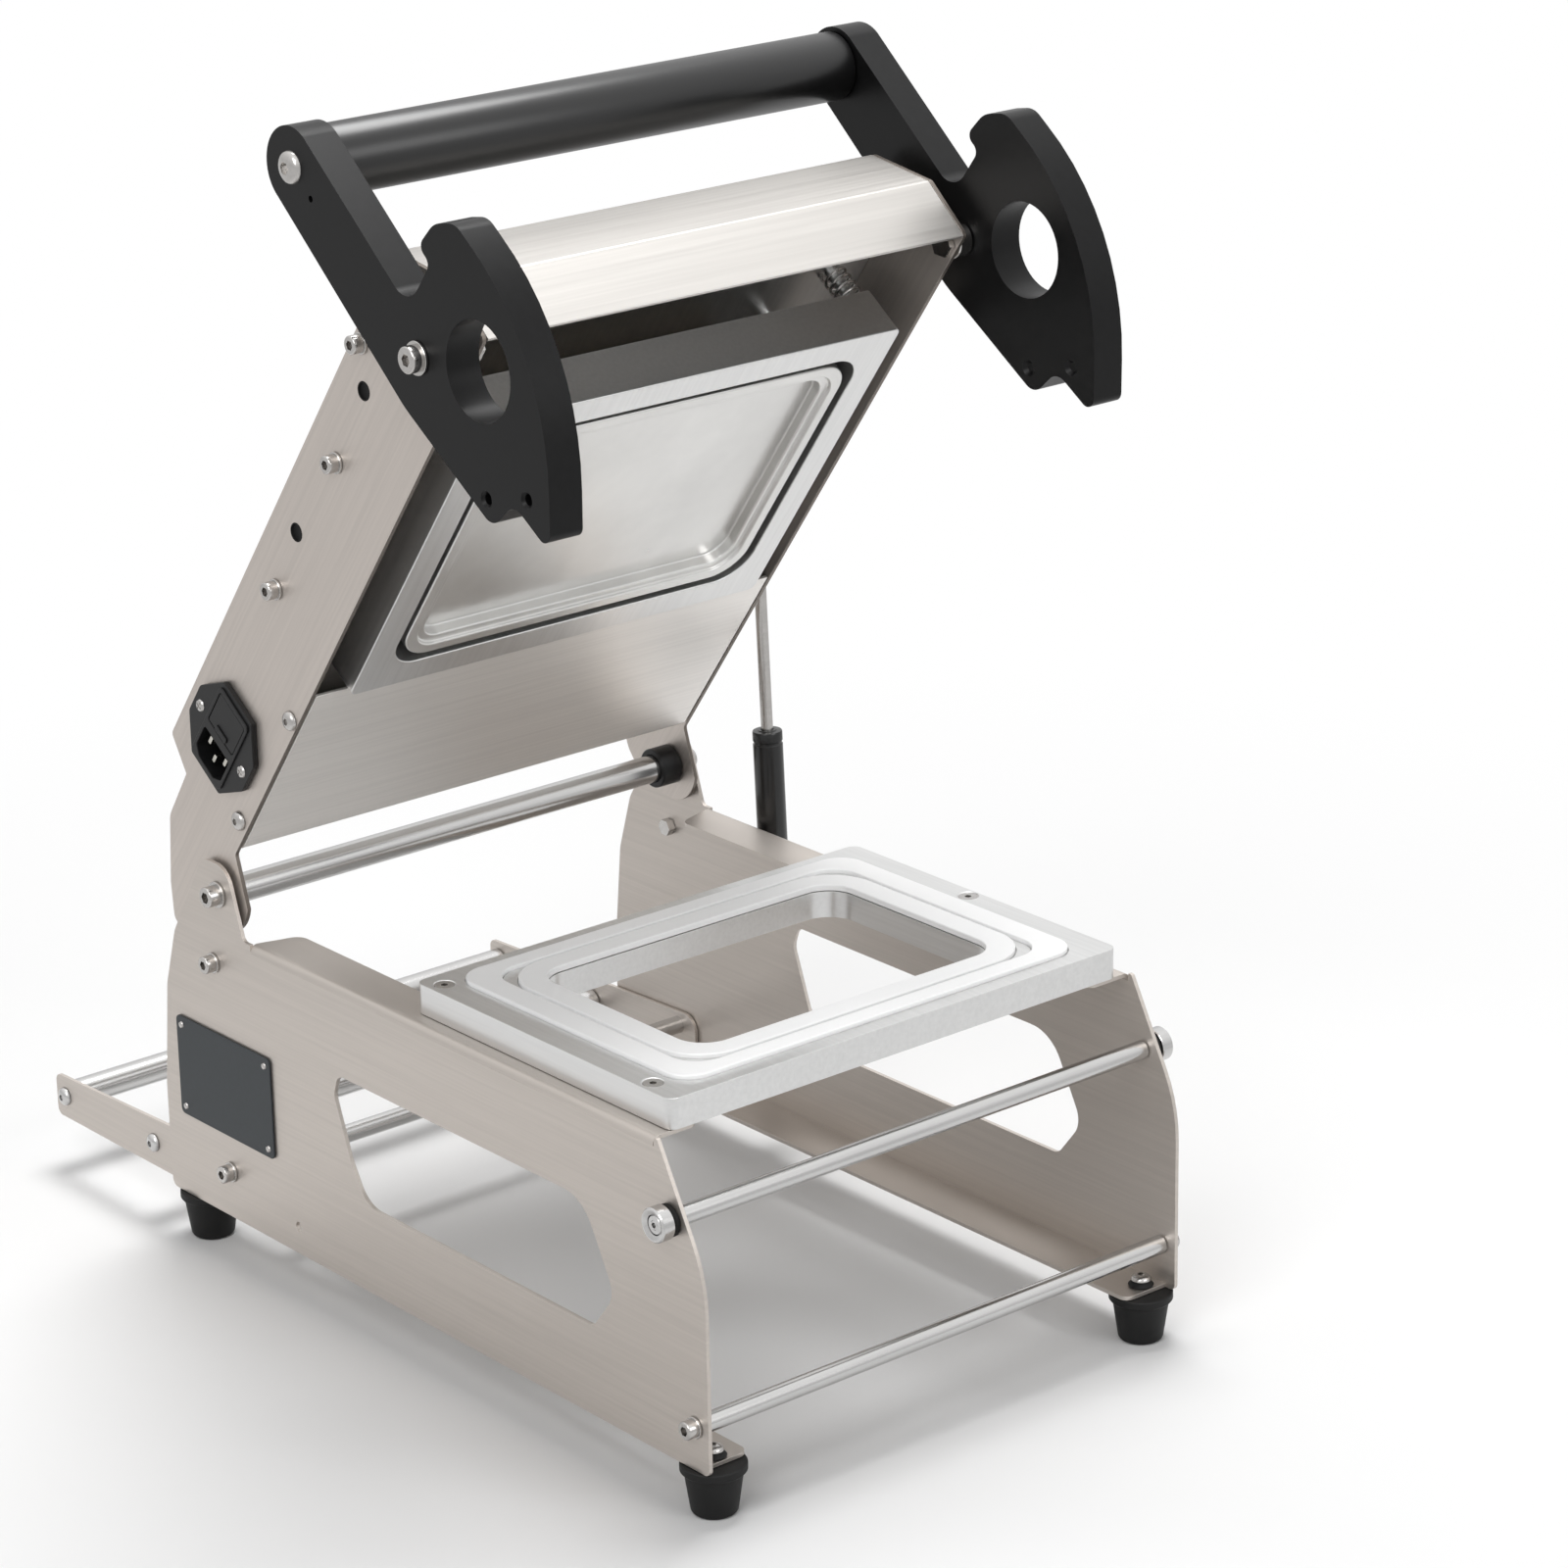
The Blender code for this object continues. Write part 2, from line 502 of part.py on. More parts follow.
# --- film holder ----------------------------------------------------------------------------
arm_outline = rounded([
    (-ARM_TIP, ARM_LOW, 4), (ROD_REAR_LOW[0] + 13.5, ARM_LOW, 9),
    (ROD_REAR_LOW[0] + 13.5, ARM_TOP + 1.5, 9), (-ARM_TIP, ARM_TIP_TOP, 4)])
arm_holes = [circle(ROD_REAR_LOW, ROD_D + 2 * RUN)]
arm_holes += [circle((-back, z), M5 + 2 * RUN) for back, z in FILM_ROLLERS]
arm_out = IN_BASE - CLEAR
arm_in = arm_out - SHEET
for side in (-1, 1):
    piece(f"film_arm_{side_name(side)}",
          upright([arm_outline] + arm_holes, side * arm_out, side * arm_in), BASE,
          "brushed_steel")
button = [(0, arm_out + CLEAR + BUTTON_H), (BUTTON_D / 4, arm_out + CLEAR + BUTTON_H),
          (BUTTON_D / 2, arm_out + CLEAR + 0.8), (BUTTON_D / 2, arm_out + CLEAR),
          (M5 / 2, arm_out + CLEAR), (M5 / 2, arm_in - CLEAR), (FILM_ROLLER_D / 2, arm_in - CLEAR)]
for (back, z), name in zip(FILM_ROLLERS, ("film_roller_front", "film_roller_rear")):
    piece(name, turned(button + [(r, -h) for r, h in reversed(button)]), BASE,
          "polished_steel", (0, -back, z))

# --- lid plates and covers ------------------------------------------------------------------
heel_left = [(-34, LID_TOP - 39, 15), (-50, HUB_R, 5)]
heel_right = [(-21, LID_TOP - 44, 15), (-26, 10, 6)]
lid_holes = [circle((0, 0), SHAFT_D + 2 * RUN), circle(HINGE_PIN, BOLT_D + 2 * RUN),
             circle((201.0, 54.0), 9.0), circle((297.0, 53.0), 9.0)]
inlet_f, inlet_b = INLET
inlet_hole = rectangle(INLET_BODY[0] + 2 * CLEAR, INLET_BODY[1] + 2 * CLEAR, 3, INLET)
for side in (-1, 1):
    own = inlet_hole if side < 0 else circle(STUD_LID, STUD_D + 2 * RUN)
    lid_outline = rounded(
        [(LID_REAR + 10, LID_TOP, 3), (LID_REAR + 2, LID_TOP - 19, 1), (-4, LID_TOP - 20.5, 10)]
        + (heel_left if side < 0 else heel_right)
        + [(f, b, 0) for f, b in arc((0, 0), HUB_R, 205, 296)]
        + [(LID_REAR, LID_LOW, 3), (LID_FRONT - 3, LID_LOW, 3), (LID_FRONT, LID_TOP / 2, 3),
           (LID_NOSE, LID_TOP, 4)])
    piece(f"lid_side_{side_name(side)}",
          upright([lid_outline] + lid_holes + [own], side * LID_W / 2, side * IN_LID), LID,
          "brushed_steel")
    bush_w = BUSH_LEFT_W if side < 0 else BUSH_RIGHT_W
    hole, rim, mid = SHAFT_D / 2 + RUN, BUSH_D / 2, side * (IN_LID - CLEAR - bush_w / 2)
    piece(f"hinge_bush_{side_name(side)}",
          turned([(hole, bush_w / 2), (rim, bush_w / 2), (rim, -bush_w / 2),
                  (hole, -bush_w / 2), (hole, bush_w / 2)]), LID, "black_plastic", (mid, 0, 0))

cover_line = [(LID_REAR + 2, LID_TOP - 20), (LID_REAR + 10, LID_TOP), (LID_NOSE, LID_TOP),
              (LID_FRONT, LID_TOP / 2), (LID_FRONT - 3, LID_LOW)]
cover = piece("lid_top_cover", upright([folded(cover_line, COVER_T)], -IN_COVER, IN_COVER), LID,
              "cover_steel")
frame_rear = SEAL_F - FRAME_L / 2
low_line = [(frame_rear - LOW_COVER_GAP, LID_LOW), (LID_REAR + 2, LID_LOW),
            (LID_REAR + 2, LID_TOP - 24)]
piece("lid_lower_cover", upright([folded(low_line, COVER_T)], -IN_COVER, IN_COVER), LID,
      "cover_steel")

# --- carrier, heated plate, heater ----------------------------------------------------------
posts = [(sx * (FRAME_W + FRAME_IN_W) / 4, SEAL_F + sf * (FRAME_L + FRAME_IN_L) / 4)
         for sx in (-1, 1) for sf in (-1, 1)]
carrier_top = CARRIER_B + CARRIER_T
carrier = piece("lid_carrier",
                lying([rectangle(2 * IN_COVER, CARRIER_FRONT - CARRIER_REAR, 3,
                                 (0, (CARRIER_FRONT + CARRIER_REAR) / 2))],
                      CARRIER_B, carrier_top), LID, "aluminium")
for side in (-1, 1):
    wall = sorted((side * (IN_COVER - 0.01), side * (IN_COVER - SHEET)))
    shaped(carrier, "UNION", block(wall, (CARRIER_REAR + 6, CARRIER_FRONT - 6),
                                   (CARRIER_B + 1, CARRIER_B + CARRIER_FLANGE)))
for x, f in posts:
    shaped(carrier, "UNION", turned([(0, CARRIER_B + 1), (POST_D / 2, CARRIER_B + 1),
                                     (POST_D / 2, FRAME_TOP - POST_IN), (0, FRAME_TOP - POST_IN)],
                                    "Z", (x, f, 0), 12))
    x, f = math.copysign(HEATER_W / 2 + 10, x), SEAL_F + math.copysign(LIP_L / 2 - 14, f - SEAL_F)
    shaped(carrier, "UNION", turned([(0, CARRIER_B + 1), (STANDOFF_D / 2, CARRIER_B + 1),
                                     (STANDOFF_D / 2, HOT_TOP + CLEAR), (0, HOT_TOP + CLEAR)],
                                    "Z", (x, f, 0), 12))

hot = piece("heated_plate", lying([rectangle(LIP_W, LIP_L, 18, (0, SEAL_F))], FRAME_LOW, HOT_TOP),
            LID, "aluminium")
shaped(hot, "DIFFERENCE",
       lying([rectangle(LIP_W - 2 * LIP_WIDE, LIP_L - 2 * LIP_WIDE, 13, (0, SEAL_F))],
             FRAME_LOW - 5, FRAME_LOW + HOT_POCKET))
piece("heater", lying([rectangle(HEATER_W, HEATER_L, 3, (0, SEAL_F))], HOT_TOP + CLEAR,
                      HOT_TOP + CLEAR + HEATER_T), LID, "heater_mica")

# --- clamp frame on its springs -------------------------------------------------------------
frame = piece("clamp_frame", lying([rectangle(FRAME_W, FRAME_L, 4, (0, SEAL_F)),
                                    rectangle(FRAME_IN_W, FRAME_IN_L, 17, (0, SEAL_F))],
                                   FRAME_LOW, FRAME_TOP), LID, "aluminium")
spring_low, spring_high = FRAME_TOP + CLEAR, CARRIER_B - CLEAR
for (x, f), name in zip(posts, ("rear_left", "front_left", "rear_right", "front_right")):
    deep = FRAME_TOP - POST_IN - FRAME_TRAVEL - 2
    shaped(frame, "DIFFERENCE", turned([(0, FRAME_TOP + 3), (POST_D / 2 + RUN, FRAME_TOP + 3),
                                        (POST_D / 2 + RUN, deep), (0, deep)], "Z", (x, f, 0), 12))
    coil = bpy.data.curves.new("coil", "CURVE")
    coil.dimensions = "3D"
    coil.bevel_depth = WIRE_D / 2 * MM
    coil.bevel_resolution = 0
    coil.use_fill_caps = True
    spline = coil.splines.new("POLY")
    count = round(SPRING_TURNS * 12)
    spline.points.add(count)
    bottom, rise = spring_low + WIRE_D / 2, spring_high - spring_low - WIRE_D
    for i, point in enumerate(spline.points):
        turn = 2 * math.pi * SPRING_TURNS * i / count
        radius = (SPRING_D - WIRE_D) / 2
        point.co = ((x + radius * math.cos(turn)) * MM, (radius * math.sin(turn) - f) * MM,
                    (bottom + rise * i / count) * MM, 1.0)
    piece(f"spring_{name}", finished(loose_object("coil", coil, Matrix())), LID,
          "polished_steel")

# --- power inlet, temperature controller and switch -----------------------------------------
wall = -LID_W / 2
wide, tall = INLET_FLANGE
flange = rounded([(inlet_f - wide / 2, inlet_b - 13, 2), (inlet_f - 9, inlet_b - tall / 2, 3),
                  (inlet_f + 9, inlet_b - tall / 2, 3), (inlet_f + wide / 2, inlet_b - 13, 2),
                  (inlet_f + wide / 2, inlet_b + 13, 2), (inlet_f + 9, inlet_b + tall / 2, 3),
                  (inlet_f - 9, inlet_b + tall / 2, 3), (inlet_f - wide / 2, inlet_b + 13, 2)])
inlet = piece("power_inlet", upright([flange], wall - CLEAR, wall - CLEAR - 3), LID,
              "black_plastic")
shaped(inlet, "UNION", upright([rectangle(*INLET_BODY, 3, INLET)], wall - CLEAR - 4.2,
                               wall + INLET_DEPTH))
shaped(inlet, "DIFFERENCE", upright([rectangle(18.0, 24.0, 3, (inlet_f - 12.5, inlet_b))],
                                    wall - 10, wall + 14))
shaped(inlet, "DIFFERENCE", upright([rectangle(20.0, 23.0, 1, (inlet_f + 11.0, inlet_b))],
                                    wall - 10, wall - CLEAR - 3.2))
for df, db in ((2.0, -7.0), (-3.5, 0.0), (2.0, 7.0)):
    shaped(inlet, "UNION", block((wall, wall + 15), (inlet_f - 12.5 + df - 2.4,
                                                      inlet_f - 12.5 + df + 2.4),
                                 (inlet_b + db - 1.2, inlet_b + db + 1.2)))

cx, cf = CONTROLLER
face = LID_TOP + CLEAR
controller = piece("temperature_controller",
                   lying([rectangle(CONTROLLER_BEZEL, CONTROLLER_BEZEL, 3, CONTROLLER)], face,
                         face + BEZEL_T), LID, "black_plastic")
shaped(controller, "UNION", lying([rectangle(CONTROLLER_BODY, CONTROLLER_BODY, 2, CONTROLLER)],
                                  face - CONTROLLER_DEPTH, face + 1))
shaped(cover, "DIFFERENCE", lying([rectangle(CONTROLLER_BODY + 2 * CLEAR,
                                             CONTROLLER_BODY + 2 * CLEAR, 2, CONTROLLER)],
                                  LID_TOP - 8, LID_TOP + 8))
sx, sf = SWITCH
switch = piece("power_switch",
               lying([rectangle(SWITCH_BODY_W + 2 * SWITCH_RIM, SWITCH_BODY_L + 2 * SWITCH_RIM, 2,
                                SWITCH)], face, face + BEZEL_T), LID, "black_plastic")
shaped(switch, "UNION", lying([rectangle(SWITCH_BODY_W, SWITCH_BODY_L, 1.5, SWITCH)],
                              face - SWITCH_DEPTH, face + 1))
shaped(switch, "DIFFERENCE", block((sx - SWITCH_BODY_W / 2 + 1.5, sx + SWITCH_BODY_W / 2 - 1.5),
                                   (sf - SWITCH_BODY_L / 2 + 1.5, sf + SWITCH_BODY_L / 2 - 1.5),
                                   (face - 9, face + 9)))
shaped(cover, "DIFFERENCE", lying([rectangle(SWITCH_BODY_W + 2 * CLEAR, SWITCH_BODY_L + 2 * CLEAR,
                                             1.5, SWITCH)], LID_TOP - 8, LID_TOP + 8))
rocker_half = SWITCH_BODY_L / 2 - 1.5 - 0.6
rocker = rounded([(-rocker_half + 0.6, 4.6, 1), (0, 2.2, 6), (rocker_half - 0.6, 4.6, 1),
                  (rocker_half - 2.5, -4, 2), (2, -7, 1), (-2, -7, 1), (2.5 - rocker_half, -4, 2)])
rocker_x = SWITCH_BODY_W / 2 - 1.5 - CLEAR
piece("switch_rocker", upright([rocker], -rocker_x, rocker_x), LID, "black_plastic",
      (sx, sf, face + BEZEL_T - 2), math.radians(ROCKER_TILT))

# --- lever ----------------------------------------------------------------------------------
grip_f, grip_b = GRIP
cam_back = ROD_FRONT_UP[0] - PIVOT[0] - HINGE_PIN[0] + ROLLER_D / 2 + CAM_RUN
lever = rounded(
    [(a, b, 0) for a, b in arc(GRIP, LEVER_END_R, 180, 0)]
    + [(13.0, 16.5, 11), (40.5, 16.0, 4), (41.0, 26.0, 7), (57.0, 23.5, 14), (67.9, 13.0, 14)]
    + [(a, b, 0) for a, b in arc((-50.0, 0.5), 117.8, 1, -55)]
    + [(-1.5, -109.5, 4.5), (-3.0, -80.5, 8), (cam_back, -76.5, 8), (-25.8, -5.0, 60)])
lever_holes = [circle((0, 0), BOLT_D + 2 * RUN), circle(CAM_HOLE, CAM_HOLE_D),
               circle((-15.6, -66.6), 6.0), circle((5.4, -85.7), 6.0)]
lever_out = LEVER_X + LEVER_T
for side in (-1, 1):
    piece(f"lever_arm_{side_name(side)}",
          upright([lever] + lever_holes, side * LEVER_X, side * lever_out), LEVER,
          "black_lever")
    bolt, nut, head, collar = BOLT_D / 2, BOLT_NUT_D / 2, BOLT_HEAD_D / 2, BOLT_COLLAR_D / 2
    plate_out = LID_W / 2
    profile = [(0, lever_out + CLEAR + BOLT_HEAD_H), (head, lever_out + CLEAR + BOLT_HEAD_H),
               (head, lever_out + CLEAR), (bolt, lever_out + CLEAR), (bolt, LEVER_X - CLEAR),
               (collar, LEVER_X - CLEAR), (collar, plate_out + CLEAR), (bolt, plate_out + CLEAR),
               (bolt, IN_LID - CLEAR), (nut, IN_LID - CLEAR), (nut, IN_LID - CLEAR - 6),
               (0, IN_LID - CLEAR - 6)]
    piece(f"lever_bolt_{side_name(side)}", turned(outward(profile, side)), LID,
          "polished_steel", (0, *HINGE_PIN))
grip_half = LEVER_X - CLEAR
piece("lever_grip",
      turned([(0, grip_half), (GRIP_D / 2 - 1, grip_half), (GRIP_D / 2, grip_half - 1),
              (GRIP_D / 2, 1 - grip_half), (GRIP_D / 2 - 1, -grip_half), (0, -grip_half)],
             at=(0, *GRIP)), LEVER, "black_lever")

# --- gas strut: its base pivot is real, its lid pivot is left open --------------------------
lid_stud_f = PIVOT[0] + STUD_LID[0] * math.cos(OPEN) - STUD_LID[1] * math.sin(OPEN)
lid_stud_z = PIVOT[1] + STUD_LID[0] * math.sin(OPEN) + STUD_LID[1] * math.cos(OPEN)
strut_reach = math.hypot(lid_stud_f - STUD_BASE[0], lid_stud_z - STUD_BASE[1])
strut_tilt = math.atan2(lid_stud_f - STUD_BASE[0], lid_stud_z - STUD_BASE[1])
STRUT = empty("strut_axis", BASE, (STRUT_X, *STUD_BASE), strut_tilt)
eye = EYE_D / 2
strut_top = EYE_NECK + STRUT_LEN
cylinder = piece("strut_cylinder", turned([
    (0, 24), (STRUT_ROD_D / 2 + RUN, 24), (STRUT_ROD_D / 2 + RUN, strut_top),
    (STRUT_D / 2 - 1, strut_top), (STRUT_D / 2, strut_top - 1.5), (STRUT_D / 2, EYE_NECK + 2),
    (STRUT_D / 2 - 3, EYE_NECK), (3.5, EYE_NECK), (3.5, eye - 2), (0, eye - 2)], "Z"), STRUT,
    "black_metal")
eye_disc = [(0, EYE_T / 2), (eye, EYE_T / 2), (eye, -EYE_T / 2), (0, -EYE_T / 2)]
eye_hole = [(0, EYE_T), (STUD_D / 2 + RUN, EYE_T), (STUD_D / 2 + RUN, -EYE_T), (0, -EYE_T)]
shaped(cylinder, "UNION", turned(eye_disc))
shaped(cylinder, "DIFFERENCE", turned(eye_hole))
rod_low = strut_top - ROD_INSIDE
rod = piece("strut_rod", turned([
    (0, strut_reach - eye + 2 - rod_low), (STRUT_ROD_D / 2, strut_reach - eye + 2 - rod_low),
    (STRUT_ROD_D / 2, 0), (0, 0)], "Z"), STRUT, "polished_steel", (0, 0, rod_low))
shaped(rod, "UNION", turned(eye_disc, at=(0, 0, strut_reach - rod_low)))
shaped(rod, "DIFFERENCE", turned(eye_hole, at=(0, 0, strut_reach - rod_low)))

stud, outer = STUD_D / 2, BASE_W / 2
eye_in, eye_out = STRUT_X - EYE_T / 2, STRUT_X + EYE_T / 2
piece("strut_stud_base", turned([
    (0, eye_out + CLEAR + 4), (6, eye_out + CLEAR + 4), (6, eye_out + CLEAR),
    (stud, eye_out + CLEAR), (stud, eye_in - CLEAR), (7, eye_in - CLEAR), (7, outer + CLEAR),
    (stud, outer + CLEAR), (stud, IN_BASE - CLEAR), (6.5, IN_BASE - CLEAR),
    (6.5, IN_BASE - CLEAR - 5), (0, IN_BASE - CLEAR - 5)]), BASE, "polished_steel",
    (0, *STUD_BASE))
piece("strut_stud_lid", turned([
    (0, eye_in - OPEN_PIVOT_GAP), (stud, eye_in - OPEN_PIVOT_GAP), (stud, LID_W / 2 + CLEAR + 4),
    (7, LID_W / 2 + CLEAR + 4), (7, LID_W / 2 + CLEAR), (stud, LID_W / 2 + CLEAR),
    (stud, IN_LID - CLEAR), (6.5, IN_LID - CLEAR), (6.5, IN_LID - CLEAR - 5),
    (0, IN_LID - CLEAR - 5)]), LID, "polished_steel", (0, *STUD_LID))
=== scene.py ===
"""Looks of the manual tray sealer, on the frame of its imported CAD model.

Pieces are drawn in millimetres, in the same spaces as the CAD: the base counts forward (f) and up
from the rear lower corner of its side plates, and the lid, the lever and the strut from their own
axes with the lid shut. Every piece rides on the CAD body that carries it.
"""
import math

import bmesh
import bpy
from mathutils import Matrix, Vector


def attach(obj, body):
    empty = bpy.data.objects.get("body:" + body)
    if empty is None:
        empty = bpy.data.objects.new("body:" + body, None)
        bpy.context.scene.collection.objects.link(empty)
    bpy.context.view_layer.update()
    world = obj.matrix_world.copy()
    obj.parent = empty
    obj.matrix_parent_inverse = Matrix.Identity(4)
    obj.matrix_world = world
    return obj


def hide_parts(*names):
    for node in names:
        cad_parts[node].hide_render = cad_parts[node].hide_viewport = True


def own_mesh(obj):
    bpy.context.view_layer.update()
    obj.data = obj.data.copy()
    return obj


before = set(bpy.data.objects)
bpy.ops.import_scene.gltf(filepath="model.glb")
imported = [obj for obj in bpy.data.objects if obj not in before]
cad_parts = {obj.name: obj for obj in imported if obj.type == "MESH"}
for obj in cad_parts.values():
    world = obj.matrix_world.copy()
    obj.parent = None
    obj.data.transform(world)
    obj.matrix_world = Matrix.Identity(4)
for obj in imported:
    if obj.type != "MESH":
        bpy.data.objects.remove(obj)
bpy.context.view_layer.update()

MM = 0.001
STEP = math.radians(6)

# Sizes, as in the CAD, in millimetres. A place is (f, height), and on a level face (x, f)
CLEAR = 0.3
BASE_W, BASE_H, BASE_FRONT, BASE_REAR, SHEET, FOOT_H = 280.0, 149.0, 406.0, 10.0, 2.0, 24.0
IN_BASE = BASE_W / 2 - SHEET
BASE_MIDDLE = 145.5                 # f of the world's origin
TOP_FLANGE, LOW_FLANGE, FLANGE_BEND = 25.0, 27.0, 4.0
FOOT_INSET, FEET = 12.0, (("rear", 5.0), ("front", 394.0))
ROD_D, SHAFT_D = 9.0, 14.0
RODS = {"front_lower": (397.0, 21.0), "front_upper": (384.0, 114.5), "rear_lower": (43.5, 24.3)}
REAR_SCREW = (38.5, 131.0)
PIVOT = (45.5, 167.5)
NAMEPLATE, NAMEPLATE_MIDDLE, NAMEPLATE_FACE = (79.0, 51.5, 3.0), (43.5, 69.25), 141.3
RIVETS = ((8.5, 48.0), (78.5, 48.0), (8.5, 90.5), (78.5, 90.5))

SEAL_F = 237.0                      # middle of the rings and the sealing tool, from the hinge axis
TRAY_LOW, TRAY_TOP, RING_TOP = 149.3, 163.8, 165.8
TRAY, OPENING = (262.0, 184.0, 5.0), (176.0, 118.0, 15.0)    # width, length, corner radius
RING_INNER = (202.0, 142.0, 25.0)
RING_OUTER, RING_OUTER_HOLE = (232.0, 166.0, 14.0), (206.0, 146.0, 14.0)

FILM_ARM_X = BASE_W / 2 - SHEET - CLEAR
FILM_ROLLER_D, FILM_ROLLERS = 14.0, (("front", -29.0, 15.5), ("rear", -110.0, 14.5))

LID_W, LID_TOP, LID_LOW, LID_FRONT = 272.0, 72.0, 4.4, 385.0
LID_NOSE, LID_REAR, HUB_R = 366.0, 24.0, 19.0
IN_LID, IN_COVER, COVER_T = 134.0, 133.7, 1.5
LID_HOLES, LID_HOLE_D = ((201.0, 54.0), (297.0, 53.0)), 9.0
LID_CAPS, LID_BUTTONS = ((314.0, 66.0), (253.0, 50.0), (165.0, 50.7)), ((119.0, 9.5), (42.0, 11.0))
INLET, CONTROLLER, SWITCH = (70.0, 40.0), (62.0, 92.0), (-30.0, 92.0)
INLET_BODY, INLET_FACE = (47.0, 27.0, 3.0), 139.3
CONTROLLER_BODY, SWITCH_BODY = (45.0, 45.0, 2.0), (19.0, 28.0, 1.5)
BEZEL_TOP = 75.3                    # of the controller and the switch, above the hinge axis
FRAME_LOW, FRAME_TOP, HOT_TOP, CARRIER_B = -1.3, 23.7, 18.7, 44.0
HINGE_PIN, STUD_LID, STUD_BASE = (370.0, 11.5), (139.0, 39.0), (109.0, 26.0)

LEVER_X, LEVER_OUT = 144.0, 161.0
GRIP, GRIP_D, LEVER_END_R = (2.0, 110.0), 32.0, 18.0
CAM_HOLE, CAM_HOLE_D, CAM_DIMPLES = (26.5, -32.5), 44.0, ((-15.6, -66.6), (5.4, -85.7))
STRUT_X, EYE_T, OPEN_PIVOT_GAP = 151.0, 8.0, 0.5
OPEN = math.radians(53.5)


def shift(x, f, z):
    return Matrix.Translation((x * MM, -f * MM, z * MM))


BASE = shift(0, -BASE_MIDDLE, FOOT_H)
LID = BASE @ shift(0, *PIVOT) @ Matrix.Rotation(-OPEN, 4, "X")
LEVER = LID @ shift(0, *HINGE_PIN)
stud_rest = BASE.inverted() @ LID @ shift(0, *STUD_LID) @ Vector((0, 0, 0))
strut_f, strut_z = -stud_rest.y / MM - STUD_BASE[0], stud_rest.z / MM - STUD_BASE[1]
STRUT_REACH = math.hypot(strut_f, strut_z)
STRUT = BASE @ shift(STRUT_X, *STUD_BASE) @ Matrix.Rotation(math.atan2(strut_f, strut_z), 4, "X")


# --- materials ------------------------------------------------------------------------------
def link(tree, a, b):
    tree.links.new(a, b)


def node(tree, kind, inputs=(), **settings):
    """A shader node with the values of its sockets and its settings."""
    made = tree.nodes.new("ShaderNode" + kind)
    for key, value in settings.items():
        setattr(made, key, value)
    for socket, value in inputs:
        made.inputs[socket].default_value = value
    return made


def grained(name, colour, metallic, rough, stretch, grain=0.06, bump=0.04, spread=0.10,
            coat=0.0, blotch=0.0, specular=0.5):
    """A metal or plastic whose grain is noise stretched along one of the piece's own axes."""
    made = bpy.data.materials.new(name)
    made.use_nodes = True
    tree = made.node_tree
    shader = tree.nodes["Principled BSDF"]
    shader.inputs["Metallic"].default_value = metallic
    shader.inputs["Coat Weight"].default_value = coat
    shader.inputs["Specular IOR Level"].default_value = specular
    place = node(tree, "TexCoord")
    scale = node(tree, "Mapping", [("Scale", stretch)])
    noise = node(tree, "TexNoise", [("Scale", 1.0), ("Detail", 4.0)])
    link(tree, place.outputs["Object"], scale.inputs["Vector"])
    link(tree, scale.outputs["Vector"], noise.inputs["Vector"])
    tint = node(tree, "ValToRGB")
    dark, light = tint.color_ramp.elements
    dark.position, light.position = 0.30, 0.70
    dark.color = (*[c * (1 - grain) for c in colour], 1)
    light.color = (*[min(1.0, c * (1 + grain)) for c in colour], 1)
    link(tree, noise.outputs["Fac"], tint.inputs["Fac"])
    shade = tint.outputs["Color"]
    if blotch:
        cloud = node(tree, "TexNoise", [("Scale", 14.0), ("Detail", 3.0)])
        link(tree, place.outputs["Object"], cloud.inputs["Vector"])
        stain = node(tree, "MapRange", [("From Min", 0.35), ("From Max", 0.65),
                                        ("To Min", 1.0 - blotch), ("To Max", 1.0)])
        link(tree, cloud.outputs["Fac"], stain.inputs["Value"])
        mix = node(tree, "VectorMath", operation="SCALE")
        link(tree, shade, mix.inputs[0])
        link(tree, stain.outputs["Result"], mix.inputs["Scale"])
        shade = mix.outputs["Vector"]
    link(tree, shade, shader.inputs["Base Color"])
    rougher = node(tree, "MapRange", [("To Min", max(0.02, rough - spread / 2)),
                                      ("To Max", rough + spread / 2)])
    link(tree, noise.outputs["Fac"], rougher.inputs["Value"])
    link(tree, rougher.outputs["Result"], shader.inputs["Roughness"])
    relief = node(tree, "Bump", [("Strength", bump), ("Distance", 0.0005)])
    link(tree, noise.outputs["Fac"], relief.inputs["Height"])
    link(tree, relief.outputs["Normal"], shader.inputs["Normal"])
    return made


STEEL = grained("steel_brushed_plate", (0.56, 0.515, 0.475), 0.8, 0.42, (40, 9, 700), 0.05)
LID_STEEL = grained("steel_brushed_lid_plate", (0.58, 0.53, 0.49), 0.8, 0.42, (40, 9, 700), 0.05)
COVER = grained("steel_brushed_cover", (0.56, 0.54, 0.515), 0.8, 0.40, (7, 600, 600), 0.05)
# Dark steel on the lid plates' sheet edges is painted shade, for edges that lie in shadow
EDGE_PAINTED_SHADE = grained("steel_edge_painted_shade", (0.20, 0.175, 0.155), 0.8, 0.45, (300, 300, 300), 0.05)
# The belly's steel is the cover's brushed steel made paler: painted light on the lid's shaded
# underside
BELLY_PAINTED_LIGHT = grained("steel_belly_painted_light", (0.82, 0.795, 0.765), 0.8, 0.40, (7, 600, 600), 0.04)
POLISHED = grained("steel_polished", (0.50, 0.485, 0.47), 1.0, 0.2, (30, 500, 500), 0.05, 0.02, 0.08)
ROD_STEEL = grained("steel_rod", (0.56, 0.555, 0.55), 1.0, 0.2, (12, 300, 300), 0.05, 0.02, 0.08)
ALUMINIUM = grained("aluminium_milled", (0.72, 0.72, 0.715), 0.95, 0.30, (500, 12, 500), 0.04, 0.02,
                    0.10, 0.0, 0.03)
HOT_ALU = grained("aluminium_heated", (0.72, 0.715, 0.70), 0.95, 0.30, (60, 60, 60), 0.03, 0.02,
                  0.12, 0.0, 0.08)
